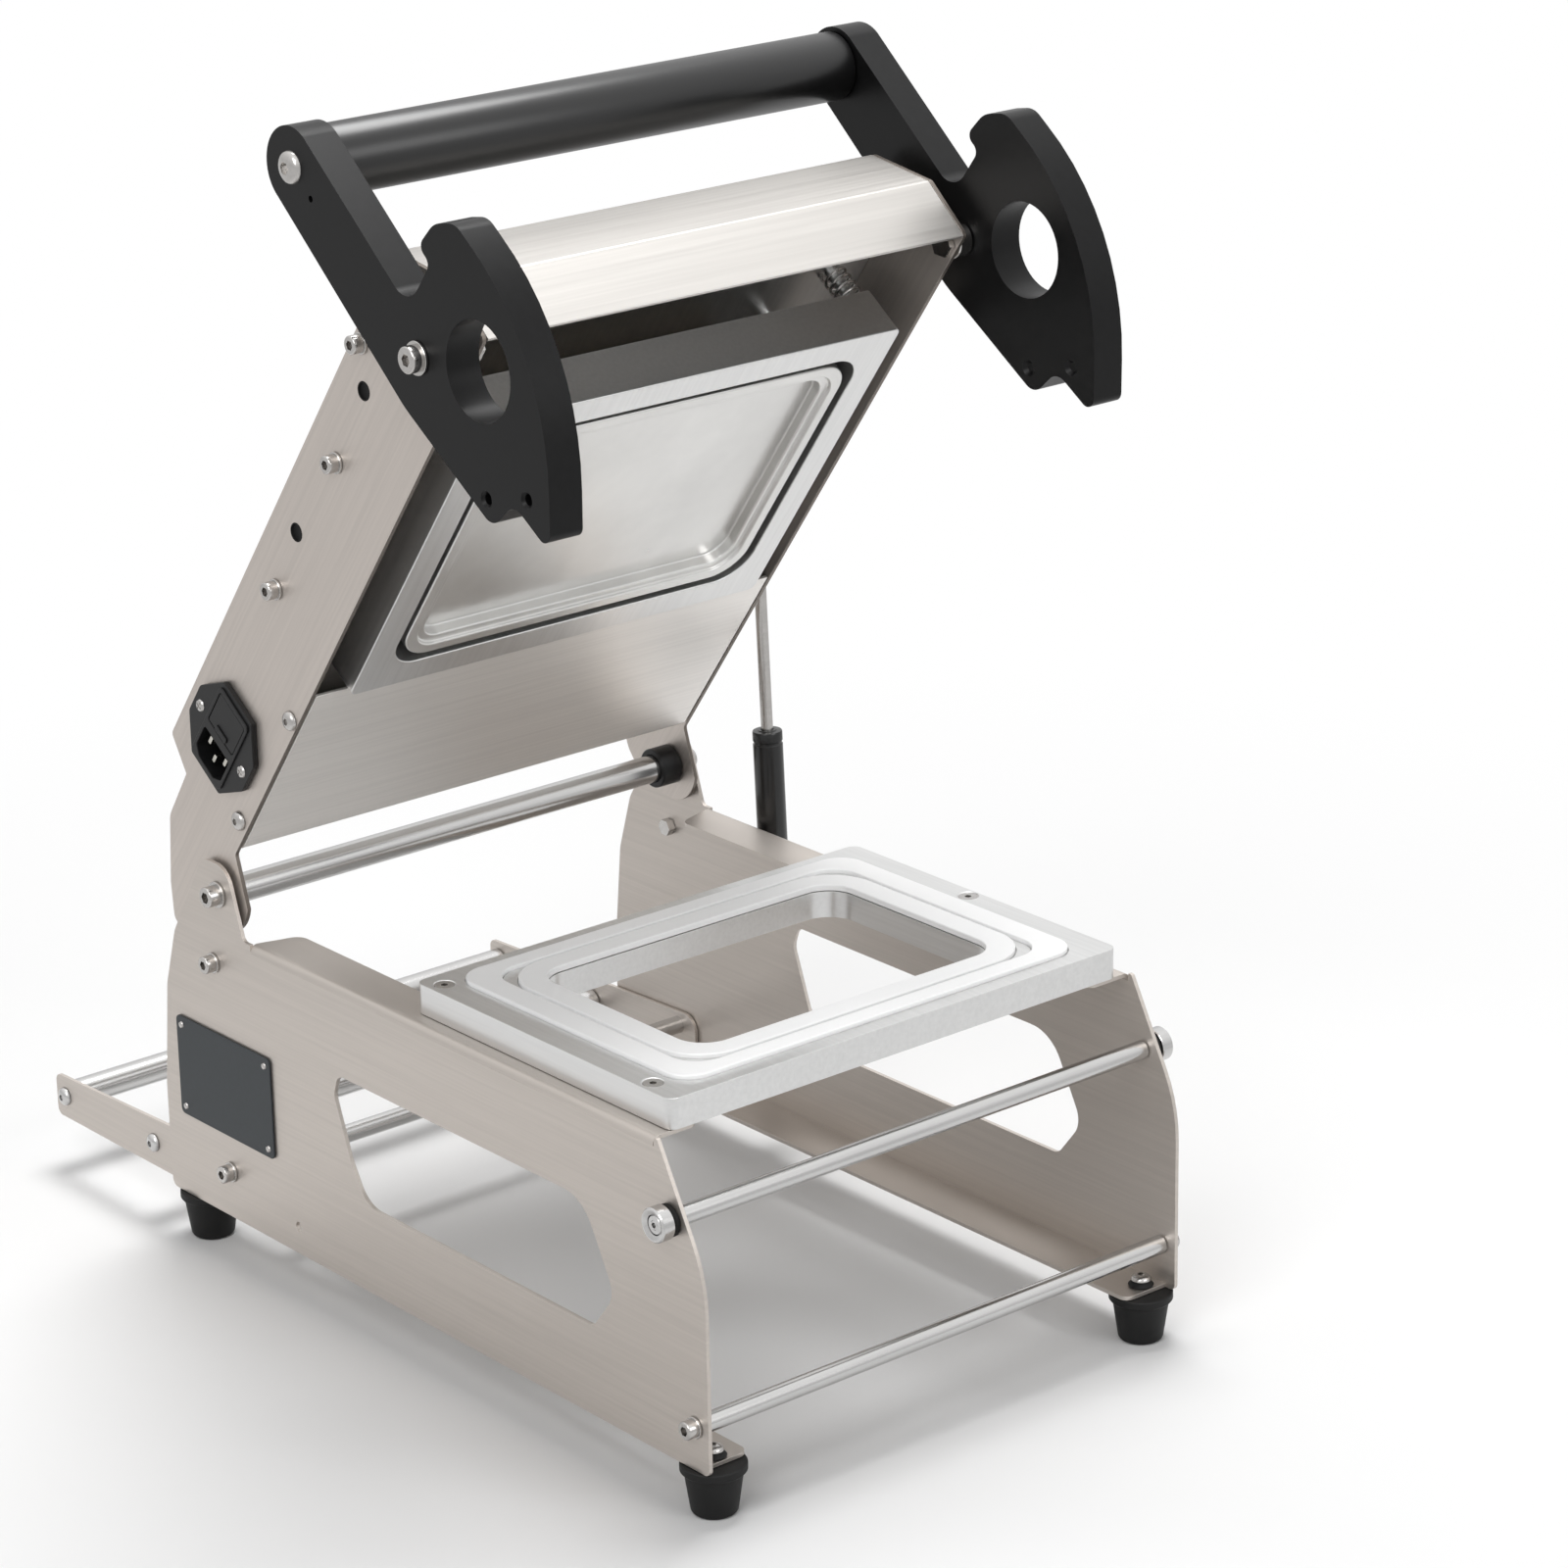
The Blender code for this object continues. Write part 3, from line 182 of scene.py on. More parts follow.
SILICONE = grained("silicone_white", (0.95, 0.95, 0.95), 0.0, 0.36, (90, 90, 90), 0.01, 0.02, 0.03,
                   0.0, 0.0, 1.0)
BLACK = grained("lever_black", (0.0045, 0.0045, 0.0048), 0.0, 0.36, (220, 220, 220), 0.15, 0.03,
                0.08, 0.0, 0.0, 0.20)
GRIP_BLACK = grained("grip_black", (0.005, 0.005, 0.0053), 0.0, 0.33, (8, 300, 300), 0.12, 0.02,
                     0.06, 0.0, 0.0, 0.6)
PLASTIC = grained("plastic_black", (0.008, 0.008, 0.0085), 0.0, 0.40, (500, 500, 500), 0.12, 0.03,
                  0.1, 0.0, 0.0, 0.3)
RUBBER = grained("rubber_black", (0.007, 0.007, 0.007), 0.0, 0.60, (300, 300, 300), 0.18, 0.06,
                 0.1, 0.0, 0.0, 0.3)
TUBE_BLACK = grained("strut_black", (0.004, 0.004, 0.0042), 0.0, 0.24, (200, 200, 20), 0.1, 0.01,
                     0.06, 0.0, 0.0, 0.5)
SLATE = grained("nameplate_dark", (0.030, 0.036, 0.041), 0.0, 0.42, (20, 400, 400), 0.10, 0.02,
                0.1, 0.0, 0.0, 0.3)
# Black plastic of the collars, keys and rocker, and also painted shade in the lid holes
DARK_PARTS_AND_HOLE_SHADE = grained("dark_plastic_and_hole_shade", (0.006, 0.006, 0.006), 0.0, 0.55, (200, 200, 200), 0.1, 0.02,
               0.1, 0.0, 0.0, 0.2)
MICA = grained("heater_mica", (0.42, 0.34, 0.25), 0.0, 0.55, (60, 60, 60), 0.12, 0.05)
BRASS = grained("pin_nickel", (0.62, 0.60, 0.55), 1.0, 0.25, (100, 100, 100), 0.04, 0.02)
LENS = grained("display_lens", (0.030, 0.008, 0.008), 0.0, 0.12, (50, 50, 50), 0.05, 0.0, 0.02, 0.5)


# --- mesh makers ----------------------------------------------------------------------------
def loose(data, matrix=Matrix()):
    """A passing object that a mesh is made from."""
    made = bpy.data.objects.new("loose", data)
    made.matrix_world = matrix
    bpy.context.scene.collection.objects.link(made)
    bpy.context.view_layer.update()
    return made


def finished(obj):
    """The evaluated mesh of an object, welded and closed; the object is removed."""
    graph = bpy.context.evaluated_depsgraph_get()
    mesh = bpy.data.meshes.new_from_object(obj.evaluated_get(graph))
    mesh.transform(obj.matrix_world)
    bpy.data.objects.remove(obj, do_unlink=True)
    shape = bmesh.new()
    shape.from_mesh(mesh)
    bmesh.ops.remove_doubles(shape, verts=shape.verts, dist=1e-7)
    bmesh.ops.dissolve_limit(shape, angle_limit=math.radians(0.5), verts=shape.verts,
                             edges=shape.edges, use_dissolve_boundaries=False)
    bmesh.ops.recalc_face_normals(shape, faces=shape.faces)
    shape.to_mesh(mesh)
    shape.free()
    return mesh


def extruded(loops, thickness, matrix):
    """A flat outline with its holes, given a thickness."""
    curve = bpy.data.curves.new("outline", "CURVE")
    curve.dimensions = "2D"
    curve.fill_mode = "BOTH"
    curve.extrude = thickness * MM / 2
    for loop in loops:
        spline = curve.splines.new("POLY")
        spline.points.add(len(loop) - 1)
        for point, (u, v) in zip(spline.points, loop):
            point.co = (u * MM, v * MM, 0.0, 1.0)
        spline.use_cyclic_u = True
    return finished(loose(curve, matrix))


def upright(loops, x0, x1):
    """Loops in (f, z), running from x0 to x1."""
    turn = Matrix(((0, 0, -1, (x0 + x1) / 2 * MM), (-1, 0, 0, 0), (0, 1, 0, 0), (0, 0, 0, 1)))
    return extruded(loops, abs(x1 - x0), turn)


def lying(loops, z0, z1):
    """Loops in (x, f), running from z0 to z1."""
    turn = Matrix(((1, 0, 0, 0), (0, -1, 0, 0), (0, 0, -1, (z0 + z1) / 2 * MM), (0, 0, 0, 1)))
    return extruded(loops, abs(z1 - z0), turn)


def along(loops, f0, f1):
    """Loops in (x, z), running from f0 to f1."""
    turn = Matrix(((1, 0, 0, 0), (0, 0, -1, -(f0 + f1) / 2 * MM), (0, 1, 0, 0), (0, 0, 0, 1)))
    return extruded(loops, abs(f1 - f0), turn)


def turned(profile, axis="X", at=(0.0, 0.0, 0.0), sides=48):
    """A profile of (radius, height) turned about an axis."""
    mesh = bpy.data.meshes.new("profile")
    mesh.from_pydata([(r * MM, 0.0, h * MM) for r, h in profile],
                     [(i, i + 1) for i in range(len(profile) - 1)], [])
    place = Matrix.Translation((at[0] * MM, -at[1] * MM, at[2] * MM))
    if axis == "X":
        place = place @ Matrix.Rotation(math.pi / 2, 4, "Y")
    obj = loose(mesh, place)
    screw = obj.modifiers.new("turn", "SCREW")
    screw.steps = screw.render_steps = sides
    screw.use_merge_vertices = True
    screw.merge_threshold = 1e-6
    return finished(obj)


def cut(mesh, *cutters, operation="DIFFERENCE"):
    body = loose(mesh)
    helpers = []
    for cutter in cutters:
        helper = loose(cutter)
        helpers.append(helper)
        boolean = body.modifiers.new("cut", "BOOLEAN")
        boolean.operation = operation
        boolean.solver = "EXACT"
        boolean.object = helper
    bpy.context.view_layer.update()
    result = finished(body)
    for helper in helpers:
        bpy.data.objects.remove(helper, do_unlink=True)
    return result


def together(*meshes):
    """Several meshes as one, each still a closed body."""
    shape = bmesh.new()
    for mesh in meshes:
        shape.from_mesh(mesh)
    made = bpy.data.meshes.new("together")
    shape.to_mesh(made)
    shape.free()
    return made


def arc(centre, radius, start, end):
    start, end = math.radians(start), math.radians(end)
    count = max(2, math.ceil(abs(end - start) / STEP))
    return [(centre[0] + radius * math.cos(start + (end - start) * i / count),
             centre[1] + radius * math.sin(start + (end - start) * i / count))
            for i in range(count + 1)]


def circle(centre, diameter):
    return arc(centre, diameter / 2, 0, 360)[:-1]


def rounded(corners):
    """The outline through corners (u, v, radius)."""
    outline = []
    for i, (u, v, radius) in enumerate(corners):
        before, after = corners[i - 1], corners[(i + 1) % len(corners)]
        to_a, to_b = (before[0] - u, before[1] - v), (after[0] - u, after[1] - v)
        la, lb = math.hypot(*to_a), math.hypot(*to_b)
        to_a, to_b = (to_a[0] / la, to_a[1] / la), (to_b[0] / lb, to_b[1] / lb)
        half = math.acos(max(-1.0, min(1.0, to_a[0] * to_b[0] + to_a[1] * to_b[1]))) / 2
        reach = min(radius / math.tan(half), 0.45 * la, 0.45 * lb)
        radius = reach * math.tan(half)
        if radius < 0.05:
            outline.append((u, v))
            continue
        mid = (to_a[0] + to_b[0], to_a[1] + to_b[1])
        scale = radius / math.sin(half) / math.hypot(*mid)
        centre = (u + mid[0] * scale, v + mid[1] * scale)
        first = math.atan2(v + to_a[1] * reach - centre[1], u + to_a[0] * reach - centre[0])
        last = math.atan2(v + to_b[1] * reach - centre[1], u + to_b[0] * reach - centre[0])
        turn = (last - first + math.pi) % (2 * math.pi) - math.pi
        outline += arc(centre, radius, math.degrees(first), math.degrees(first + turn))
    return outline


def rectangle(width, length, radius, centre=(0.0, 0.0)):
    u, v = centre
    return rounded([(u + sx * width / 2, v + sy * length / 2, radius)
                    for sx, sy in ((-1, -1), (1, -1), (1, 1), (-1, 1))])


def grown(size, by):
    """The width, length and corner radius of a rectangle that is wider and longer."""
    width, length, radius = size
    return width + by, length + by, radius


def folded(line, thickness, bend):
    """Outline of a folded sheet with round bends."""
    inner = []
    for i, (u, v) in enumerate(line):
        ends = [line[i], line[i + 1]] if i == 0 else [line[i - 1], line[i]]
        legs = [ends] if i in (0, len(line) - 1) else [ends, [line[i], line[i + 1]]]
        normals = []
        for (u0, v0), (u1, v1) in legs:
            length = math.hypot(u1 - u0, v1 - v0)
            normals.append(((v1 - v0) / length, -(u1 - u0) / length))
        mid = (sum(n[0] for n in normals), sum(n[1] for n in normals))
        size = math.hypot(*mid)
        cosine = (mid[0] * normals[0][0] + mid[1] * normals[0][1]) / size
        inner.append((u + mid[0] * thickness / cosine / size,
                      v + mid[1] * thickness / cosine / size))
    last = len(line) - 1
    outer = [(*p, 0 if i in (0, last) else bend + thickness) for i, p in enumerate(line)]
    inner = [(*p, 0 if i in (0, last) else bend) for i, p in enumerate(inner)]
    return rounded(outer + inner[::-1])


def piece(name, mesh, space, body, look, nodes=(), bevel=0.25, segments=2, paint_edge_shade=False):
    """The mesh as a named piece, in its own space, that rides on a body."""
    mesh.name = name
    made = bpy.data.objects.new(name, mesh)
    bpy.context.scene.collection.objects.link(made)
    made.matrix_world = space
    mesh.materials.clear()
    mesh.materials.append(look)
    # Faces not facing ±X, the sheet's edges, take the dark edge steel: painted shade
    if paint_edge_shade:
        mesh.materials.append(EDGE_PAINTED_SHADE)
        for face in mesh.polygons:
            face.material_index = int(abs(face.normal.x) < 0.5)
    mesh.shade_smooth()
    mesh.set_sharp_from_angle(angle=math.radians(32))
    if bevel:
        edge = made.modifiers.new("edge", "BEVEL")
        edge.width = bevel * MM
        edge.segments = segments
        edge.limit_method = "ANGLE"
        edge.angle_limit = math.radians(40)
        edge.harden_normals = True
        edge.use_clamp_overlap = True
    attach(made, body)
    if nodes:
        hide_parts(*nodes)
    return made


def side_name(side):
    return "left" if side < 0 else "right"


def facing(side):
    """Turns a piece drawn for the right side to face left."""
    return Matrix() if side > 0 else Matrix.Rotation(math.pi, 4, "Z")


# --- screws: drawn along +X from the face they sit on ---------------------------------------
def six_corners(radius):
    return [(radius * math.cos(math.radians(60 * i)), radius * math.sin(math.radians(60 * i)))
            for i in range(6)]


def hexagon(across, x0, x1):
    return upright([six_corners(across / 2 / math.cos(math.pi / 6))], x0, x1)


def screw_mesh(head_d, head_h, washer_d, key, washer_t=1.0, dome=False):
    """A socket-head screw on its washer; key is the socket's width."""
    low = washer_t + CLEAR
    top, head = low + head_h, head_d / 2
    crown = ([(0, top)] + [(head * math.sin(math.radians(a)) * 0.98,
                            low + head_h * math.cos(math.radians(a) * 0.9))
                           for a in (15, 30, 45, 60, 75)]
             if dome else [(0, top), (head - 0.6, top), (head - 0.2, top - 0.25),
                           (head, top - 0.6)])
    body = turned(crown + [(head, low), (0, low)])
    body = cut(body, hexagon(key, low + head_h * 0.35, top + 2))
    washer = turned([(0, low - 0.02), (washer_d / 2 - 0.15, low - 0.02),
                     (washer_d / 2, low - 0.2), (washer_d / 2, CLEAR), (0, CLEAR)])
    return together(body, washer)


M5 = screw_mesh(8.5, 5.0, 10.0, 4.0)
M6 = screw_mesh(10.0, 6.0, 13.0, 5.0)
BUTTON = screw_mesh(9.5, 2.6, 5.0, 3.0, 0.0, True)


def screw(name, mesh, space, body, x, f, z, side, nodes=()):
    piece(name, mesh.copy(), space @ shift(x, f, z) @ facing(side), body, POLISHED, nodes, 0)


# --- base side plates -----------------------------------------------------------------------
ear_top = PIVOT[1] + 15.5
flange_rear, flange_front = PIVOT[0] + 25, BASE_FRONT - 33
plate_line = rounded([
    (-BASE_REAR, 0, 4), (BASE_FRONT, 0, 3), (BASE_FRONT, BASE_H - 56, 70),
    (BASE_FRONT - 30, BASE_H, 5), (flange_front + 1, BASE_H, 0),
    (flange_front + 0.5, BASE_H - FLANGE_BEND, 0), (flange_rear, BASE_H - FLANGE_BEND, 0),
    (flange_rear, BASE_H, 0), (PIVOT[0] + 19, BASE_H, 4), (PIVOT[0] + 8, ear_top, 13),
    (PIVOT[0] - 12, ear_top, 10), (PIVOT[0] - 40, BASE_H - 11, 15), (-4, BASE_H - 41, 20),
    (-BASE_REAR, BASE_H - 95, 30)])
window = rounded([
    (138, 104, 6), (322, 104, 22), (343, 64, 12), (327, 44, 7), (156, 44, 22), (145, 63, 20),
    (134, 93, 8)])
bend = arc((0, 0), FLANGE_BEND, 0, 90) + arc((0, 0), FLANGE_BEND - SHEET, 90, 0)
for side in (-1, 1):
    outer = side * BASE_W / 2
    sheet = upright([plate_line, window, circle((99, 14), 5)], outer, side * IN_BASE)
    corner = [(outer - side * (FLANGE_BEND - u), BASE_H - FLANGE_BEND + v) for u, v in bend]
    fold = along([corner], flange_rear, flange_front)
    bend_x, top_x, low_x = (outer - side * width for width in (FLANGE_BEND, TOP_FLANGE, LOW_FLANGE))
    strip = rounded([(bend_x, flange_rear, 0), (top_x, flange_rear + 6, 7),
                     (top_x, flange_front, 4), (bend_x, flange_front, 0)])
    top = lying([strip], BASE_H - SHEET, BASE_H)
    low_rear, low_front = -BASE_REAR + 7, BASE_FRONT - 6
    low = rounded([(outer - side * 1.0, low_rear, 0), (low_x, low_rear, 5),
                   (low_x, low_front, 5), (outer - side * 1.0, low_front, 0)])
    bottom = lying([low], 0.02, SHEET)
    own = side_name(side)
    piece(f"plate_{own}", together(sheet, fold, top, bottom), BASE, "base", STEEL,
          [f"base_side_{own}"])
    for end, f in FEET:
        foot = turned([(0, -0.3), (14.6, -0.3), (15, -0.8), (15, -3.6), (14.4, -4.4),
                       (13.2, -5.0), (10.6, -22.6), (10, -23.6), (9.2, -24), (5, -24),
                       (4.2, -22), (0, -22)], "Z")
        plug = turned([(0, 5.3), (3.4, 5.3), (4.0, 5.0), (6.0, 2.9), (5.8, 2.5), (0, 2.5)], "Z")
        foot_x = outer - side * FOOT_INSET
        piece(f"rubber_foot_{end}_{own}", together(foot, plug), BASE @ shift(foot_x, f, 0), "base",
              RUBBER, [f"foot_{end}_{own}"], 0)
        screw(f"foot_screw_{end}_{own}", BUTTON,
              BASE @ shift(foot_x, f, 5.0) @ Matrix.Rotation(-math.pi / 2, 4, "Y"),
              "base", 0, 0, 0, 1)


# --- rods, hinge shaft, screws, rollers -----------------------------------------------------
def rod_mesh(diameter, half):
    r = diameter / 2
    return turned([(0, half), (r - 0.4, half), (r, half - 0.4), (r, 0.4 - half),
                   (r - 0.4, -half), (0, -half)])


for name, (f, z) in RODS.items():
    piece(f"bar_{name}", rod_mesh(ROD_D, IN_BASE - CLEAR), BASE @ shift(0, f, z), "base", ROD_STEEL,
          [f"rod_{name}"], 0)
piece("bar_hinge", rod_mesh(SHAFT_D, IN_BASE - CLEAR), BASE @ shift(0, *PIVOT), "base", ROD_STEEL,
      ["hinge_shaft"], 0)
for side in (-1, 1):
    face, own = side * BASE_W / 2, side_name(side)
    for name in ("front_lower", "rear_lower"):
        screw(f"cap_{name}_{own}", M5, BASE, "base", face, *RODS[name], side,
              [f"screw_{name}_{own}"])
    screw(f"cap_rear_upper_{own}", together(M5.copy(), hexagon(7.6, -6.3, -2.3)), BASE, "base",
          face, *REAR_SCREW, side, [f"screw_rear_upper_{own}"])
    screw(f"cap_hinge_{own}", M6, BASE, "base", face, *PIVOT, side, [f"screw_hinge_{own}"])
    wheel = turned([(4.7, 2.2), (5.2, 2.4), (6.6, 3.2), (7.4, 3.2), (8.0, 2.6), (8.0, -2.8),
                    (7.6, -3.2), (4.7, -3.2), (4.7, 2.2)], sides=64)
    hub = BASE @ shift(face + side * 6.8, *RODS["front_upper"]) @ facing(side)
    piece(f"wheel_{own}", wheel, hub, f"cam_roller_{own}", ROD_STEEL, [f"cam_roller_{own}"], 0)
    head = turned([(0, 2.5), (1.8, 2.5), (2.4, 2.1), (4.1, 2.1), (4.4, 1.8), (4.4, -3.0),
                   (0, -3.0)])
    piece(f"wheel_screw_{own}", cut(head, hexagon(2.5, 0.2, 5)), hub, "base", ROD_STEEL,
          [f"screw_roller_{own}"], 0)
    collar = turned([(0, 3.3), (6.9, 3.3), (7.5, 2.8), (7.5, 0.8), (6.9, 0.3), (0, 0.3)])
    piece(f"collar_{own}", collar, BASE @ shift(face, *RODS["front_upper"]) @ facing(side),
          "base", DARK_PARTS_AND_HOLE_SHADE, [f"roller_spacer_{own}"], 0)

# --- nameplate, left bare -------------------------------------------------------------------
piece("plate_blank", upright([rectangle(*NAMEPLATE, NAMEPLATE_MIDDLE)], -BASE_W / 2 - CLEAR,
                             -NAMEPLATE_FACE), BASE, "base", SLATE, ["nameplate"], 0.3)
for f, z in RIVETS:
    rivet = turned([(0, 1.0), (0.8, 0.9), (1.4, 0.6), (1.7, 0.0), (0, 0.0)], sides=24)
    piece(f"rivet_{int(f)}_{int(z)}", rivet, BASE @ shift(-NAMEPLATE_FACE, f, z) @ facing(-1), "base",
          POLISHED, (), 0)

# --- tray plate and rings -------------------------------------------------------------------
middle = (0, PIVOT[0] + SEAL_F)
screws = [(-123.0, middle[1] - 80.5), (-124.0, middle[1] + 71.5), (125.0, middle[1] - 3.5)]
tray = lying([rectangle(*TRAY, middle), rectangle(*OPENING, middle)], TRAY_LOW, TRAY_TOP)
pockets = [lying(loops, TRAY_TOP - 1.5, TRAY_TOP + 5) for loops in (
    [rectangle(*grown(RING_INNER, 2 * CLEAR), middle)],
    [rectangle(*grown(RING_OUTER, 2 * CLEAR), middle),
     rectangle(*grown(RING_OUTER_HOLE, -2 * CLEAR), middle)])]
sinks = [turned([(0, 3), (5.2, 3), (5.2, 0), (3.2, -2.0), (3.2, -4.5), (0, -4.5)], "Z",
                (x, f, TRAY_TOP)) for x, f in screws]
piece("tray_holder", cut(tray, *pockets, *sinks), BASE, "base", ALUMINIUM, ["tray_plate"], 0.5, 3)
for i, (x, f) in enumerate(screws):
    head = cut(turned([(0, -0.25), (4.6, -0.25), (4.8, -0.5), (2.6, -2.6), (0, -2.6)], "Z"),
               lying([six_corners(1.7)], -2.0, 2.0))
    piece(f"tray_screw_{i}", head, BASE @ shift(x, f, TRAY_TOP), "base", POLISHED, (), 0)
for name, outside, inside in (("inner", RING_INNER, OPENING),
                              ("outer", RING_OUTER, RING_OUTER_HOLE)):
    ring = lying([rectangle(*outside, middle), rectangle(*inside, middle)],
                 TRAY_TOP - 1.2, RING_TOP)
    piece(f"silicone_{name}", ring, BASE, "base", SILICONE, [f"seal_ring_{name}"], 0.7, 4)

# --- film holder ----------------------------------------------------------------------------
arm_line = rounded([(-118, 3, 4), (57, 3, 9), (57, 32, 9), (-118, 25, 4)])
for side in (-1, 1):
    own = side_name(side)
    piece(f"film_bar_{own}", upright([arm_line], side * FILM_ARM_X,
                                       side * (FILM_ARM_X - SHEET)), BASE, "base",
          STEEL, [f"film_arm_{own}"])
for name, f, z in FILM_ROLLERS:
    rolls = [rod_mesh(FILM_ROLLER_D, FILM_ARM_X - SHEET - CLEAR)]
    for side in (-1, 1):
        head = BUTTON.copy()
        head.transform(shift(side * FILM_ARM_X, 0, 0) @ facing(side))
        rolls.append(head)
    piece(f"film_bar_roller_{name}", together(*rolls), BASE @ shift(0, f, z),
          f"film_roller_{name}", ROD_STEEL, [f"film_roller_{name}"], 0)

# --- lid plates and covers ------------------------------------------------------------------
for side in (-1, 1):
    own = side_name(side)
    heel = ([(-34, LID_TOP - 39, 15), (-50, HUB_R, 5)] if side < 0 else
            [(-21, LID_TOP - 44, 15), (-26, 10, 6)])
    lid_line = rounded(
        [(LID_REAR + 10, LID_TOP, 3), (LID_REAR + 2, LID_TOP - 19, 1), (-4, LID_TOP - 20.5, 10)]
        + heel + [(f, b, 0) for f, b in arc((0, 0), HUB_R, 205, 296)]
        + [(LID_REAR, LID_LOW, 3), (LID_FRONT - 3, LID_LOW, 3), (LID_FRONT, LID_TOP / 2, 3),
           (LID_NOSE, LID_TOP, 4)])
    holes = [circle(at, LID_HOLE_D) for at in LID_HOLES]
    holes.append(circle((0, 0), SHAFT_D + 2 * CLEAR))
    if side < 0:
        holes.append(rectangle(*grown(INLET_BODY, 2 * CLEAR), INLET))
    # The lid plates' sheet edges get painted shade
    piece(f"lid_plate_{own}", upright([lid_line] + holes, side * LID_W / 2, side * IN_LID), LID,
          "lid", LID_STEEL, [f"lid_side_{own}"], paint_edge_shade=True)
    for k, (f, b) in enumerate(LID_CAPS):
        screw(f"lid_cap_{k}_{own}", M5, LID, "lid", side * LID_W / 2, f, b, side)
    for k, (f, b) in enumerate(LID_BUTTONS):
        screw(f"lid_button_{k}_{own}", BUTTON, LID, "lid", side * LID_W / 2, f, b, side)
    for k, (f, b) in enumerate(LID_HOLES):
        # A dark disc recessed in each lid hole is painted shade; the real hole opens into the lid
        plug = turned([(0, -1.2), (2.6, -1.2), (3.6, -0.9), (3.9, 0.15), (4.4, 0.15), (4.4, -1.9),
                       (0, -1.9)])
        piece(f"hole_shade_disc_{k}_{own}", plug,
              LID @ shift(side * LID_W / 2, f, b) @ facing(side), "lid", DARK_PARTS_AND_HOLE_SHADE, (), 0)
    width = 12.0 if side > 0 else 3.0
    mid, hub = side * (IN_COVER - width / 2), width / 2
    piece(f"bush_{own}", turned([(7.3, hub), (9.4, hub), (10, hub - 0.6), (10, 0.6 - hub),
                                 (9.4, -hub), (7.3, -hub), (7.3, hub)]),
          LID @ shift(mid, 0, 0), "lid", PLASTIC, [f"hinge_bush_{own}"], 0)

cover_line = [(LID_REAR + 2, LID_TOP - 20), (LID_REAR + 10, LID_TOP), (LID_NOSE, LID_TOP),
              (LID_FRONT, LID_TOP / 2), (LID_FRONT - 3, LID_LOW)]
cover = upright([folded(cover_line, COVER_T, 1.5)], -IN_COVER, IN_COVER)
cover = cut(cover, *[lying([rectangle(*grown(body, 2 * CLEAR), at)], LID_TOP - 8, LID_TOP + 8)
                     for body, at in ((CONTROLLER_BODY, CONTROLLER), (SWITCH_BODY, SWITCH))])
piece("lid_hood", cover, LID, "lid", COVER, ["lid_top_cover"])
low_line = [(SEAL_F - 95.5, LID_LOW), (LID_REAR + 2, LID_LOW), (LID_REAR + 2, LID_TOP - 24)]
# The belly sheet takes the paler steel, painted light on its shaded side
piece("lid_belly", upright([folded(low_line, COVER_T, 1.5)], 0.8 - IN_COVER, IN_COVER - 0.8),
      LID, "lid", BELLY_PAINTED_LIGHT, ["lid_lower_cover"])

# --- carrier, heated plate, clamp frame, springs --------------------------------------------
posts = [(sx * 111.5, SEAL_F + sf * 85.5) for sx in (-1, 1) for sf in (-1, 1)]
parts = [lying([rectangle(2 * IN_COVER, 197, 3, (0, 246.5))], CARRIER_B, 47.0)]
for side in (-1, 1):
    parts.append(along([rectangle(2.0, 13.0, 0.5, (side * (IN_COVER - 1.01), 51.5))], 154, 339))
for x, f in posts:
    parts.append(turned([(0, 45), (3, 45), (3, 12.2), (2.5, 11.7), (0, 11.7)], "Z", (x, f, 0)))
    standoff = (math.copysign(85, x), SEAL_F + math.copysign(60.5, f - SEAL_F), 0)
    parts.append(turned([(0, 45), (4, 45), (4, HOT_TOP + CLEAR), (0, HOT_TOP + CLEAR)], "Z",
                        standoff))
piece("carrier_plate", together(*parts), LID, "lid", ALUMINIUM, ["lid_carrier"])

block = lying([rectangle(200, 149, 18, (0, SEAL_F))], FRAME_LOW + 0.6, HOT_TOP)
well = lying([rectangle(188, 137, 14, (0, SEAL_F))], FRAME_LOW - 5, FRAME_LOW + 2.5)
deep = lying([rectangle(180, 129, 12, (0, SEAL_F))], FRAME_LOW + 1.0, FRAME_LOW + 8.0)
piece("sealing_plate", cut(block, well, deep), LID, "lid", HOT_ALU, ["heated_plate"], 1.6, 4)
heater_low = HOT_TOP + CLEAR
piece("heater_pad", lying([rectangle(150, 90, 3, (0, SEAL_F))], heater_low, heater_low + 6.0),
      LID, "lid", MICA, ["heater"])

ring = lying([rectangle(238, 186, 4, (0, SEAL_F)), rectangle(208, 156, 17, (0, SEAL_F))],
             FRAME_LOW, FRAME_TOP)
bores = [turned([(0, FRAME_TOP + 3), (3.3, FRAME_TOP + 3), (3.3, 2), (0, 2)], "Z", (x, f, 0))
         for x, f in posts]
piece("clamp_ring", cut(ring, *bores), LID, "clamp_frame", ALUMINIUM, ["clamp_frame"], 0.6, 3)

WIRE_R, COIL_R, TURNS, COIL_POINTS = 0.75, 5.75, 4.5, 130
for (x, f), own in zip(posts, ("rear_left", "front_left", "rear_right", "front_right")):
    coil = bpy.data.curves.new("coil", "CURVE")
    coil.dimensions = "3D"
    coil.bevel_depth = WIRE_R * MM
    coil.bevel_resolution = 3
    coil.use_fill_caps = True
    spline = coil.splines.new("POLY")
    spline.points.add(COIL_POINTS)
    end_gap = WIRE_R + CLEAR
    bottom, rise = FRAME_TOP + end_gap, CARRIER_B - FRAME_TOP - 2 * end_gap
    for i, point in enumerate(spline.points):
        turn = 2 * math.pi * TURNS * i / COIL_POINTS
        point.co = ((x + COIL_R * math.cos(turn)) * MM, (COIL_R * math.sin(turn) - f) * MM,
                    (bottom + rise * i / COIL_POINTS) * MM, 1.0)
    made = piece(f"coil_{own}", finished(loose(coil)), LID, "lid", POLISHED,
                 [f"spring_{own}"], 0)
    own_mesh(made)

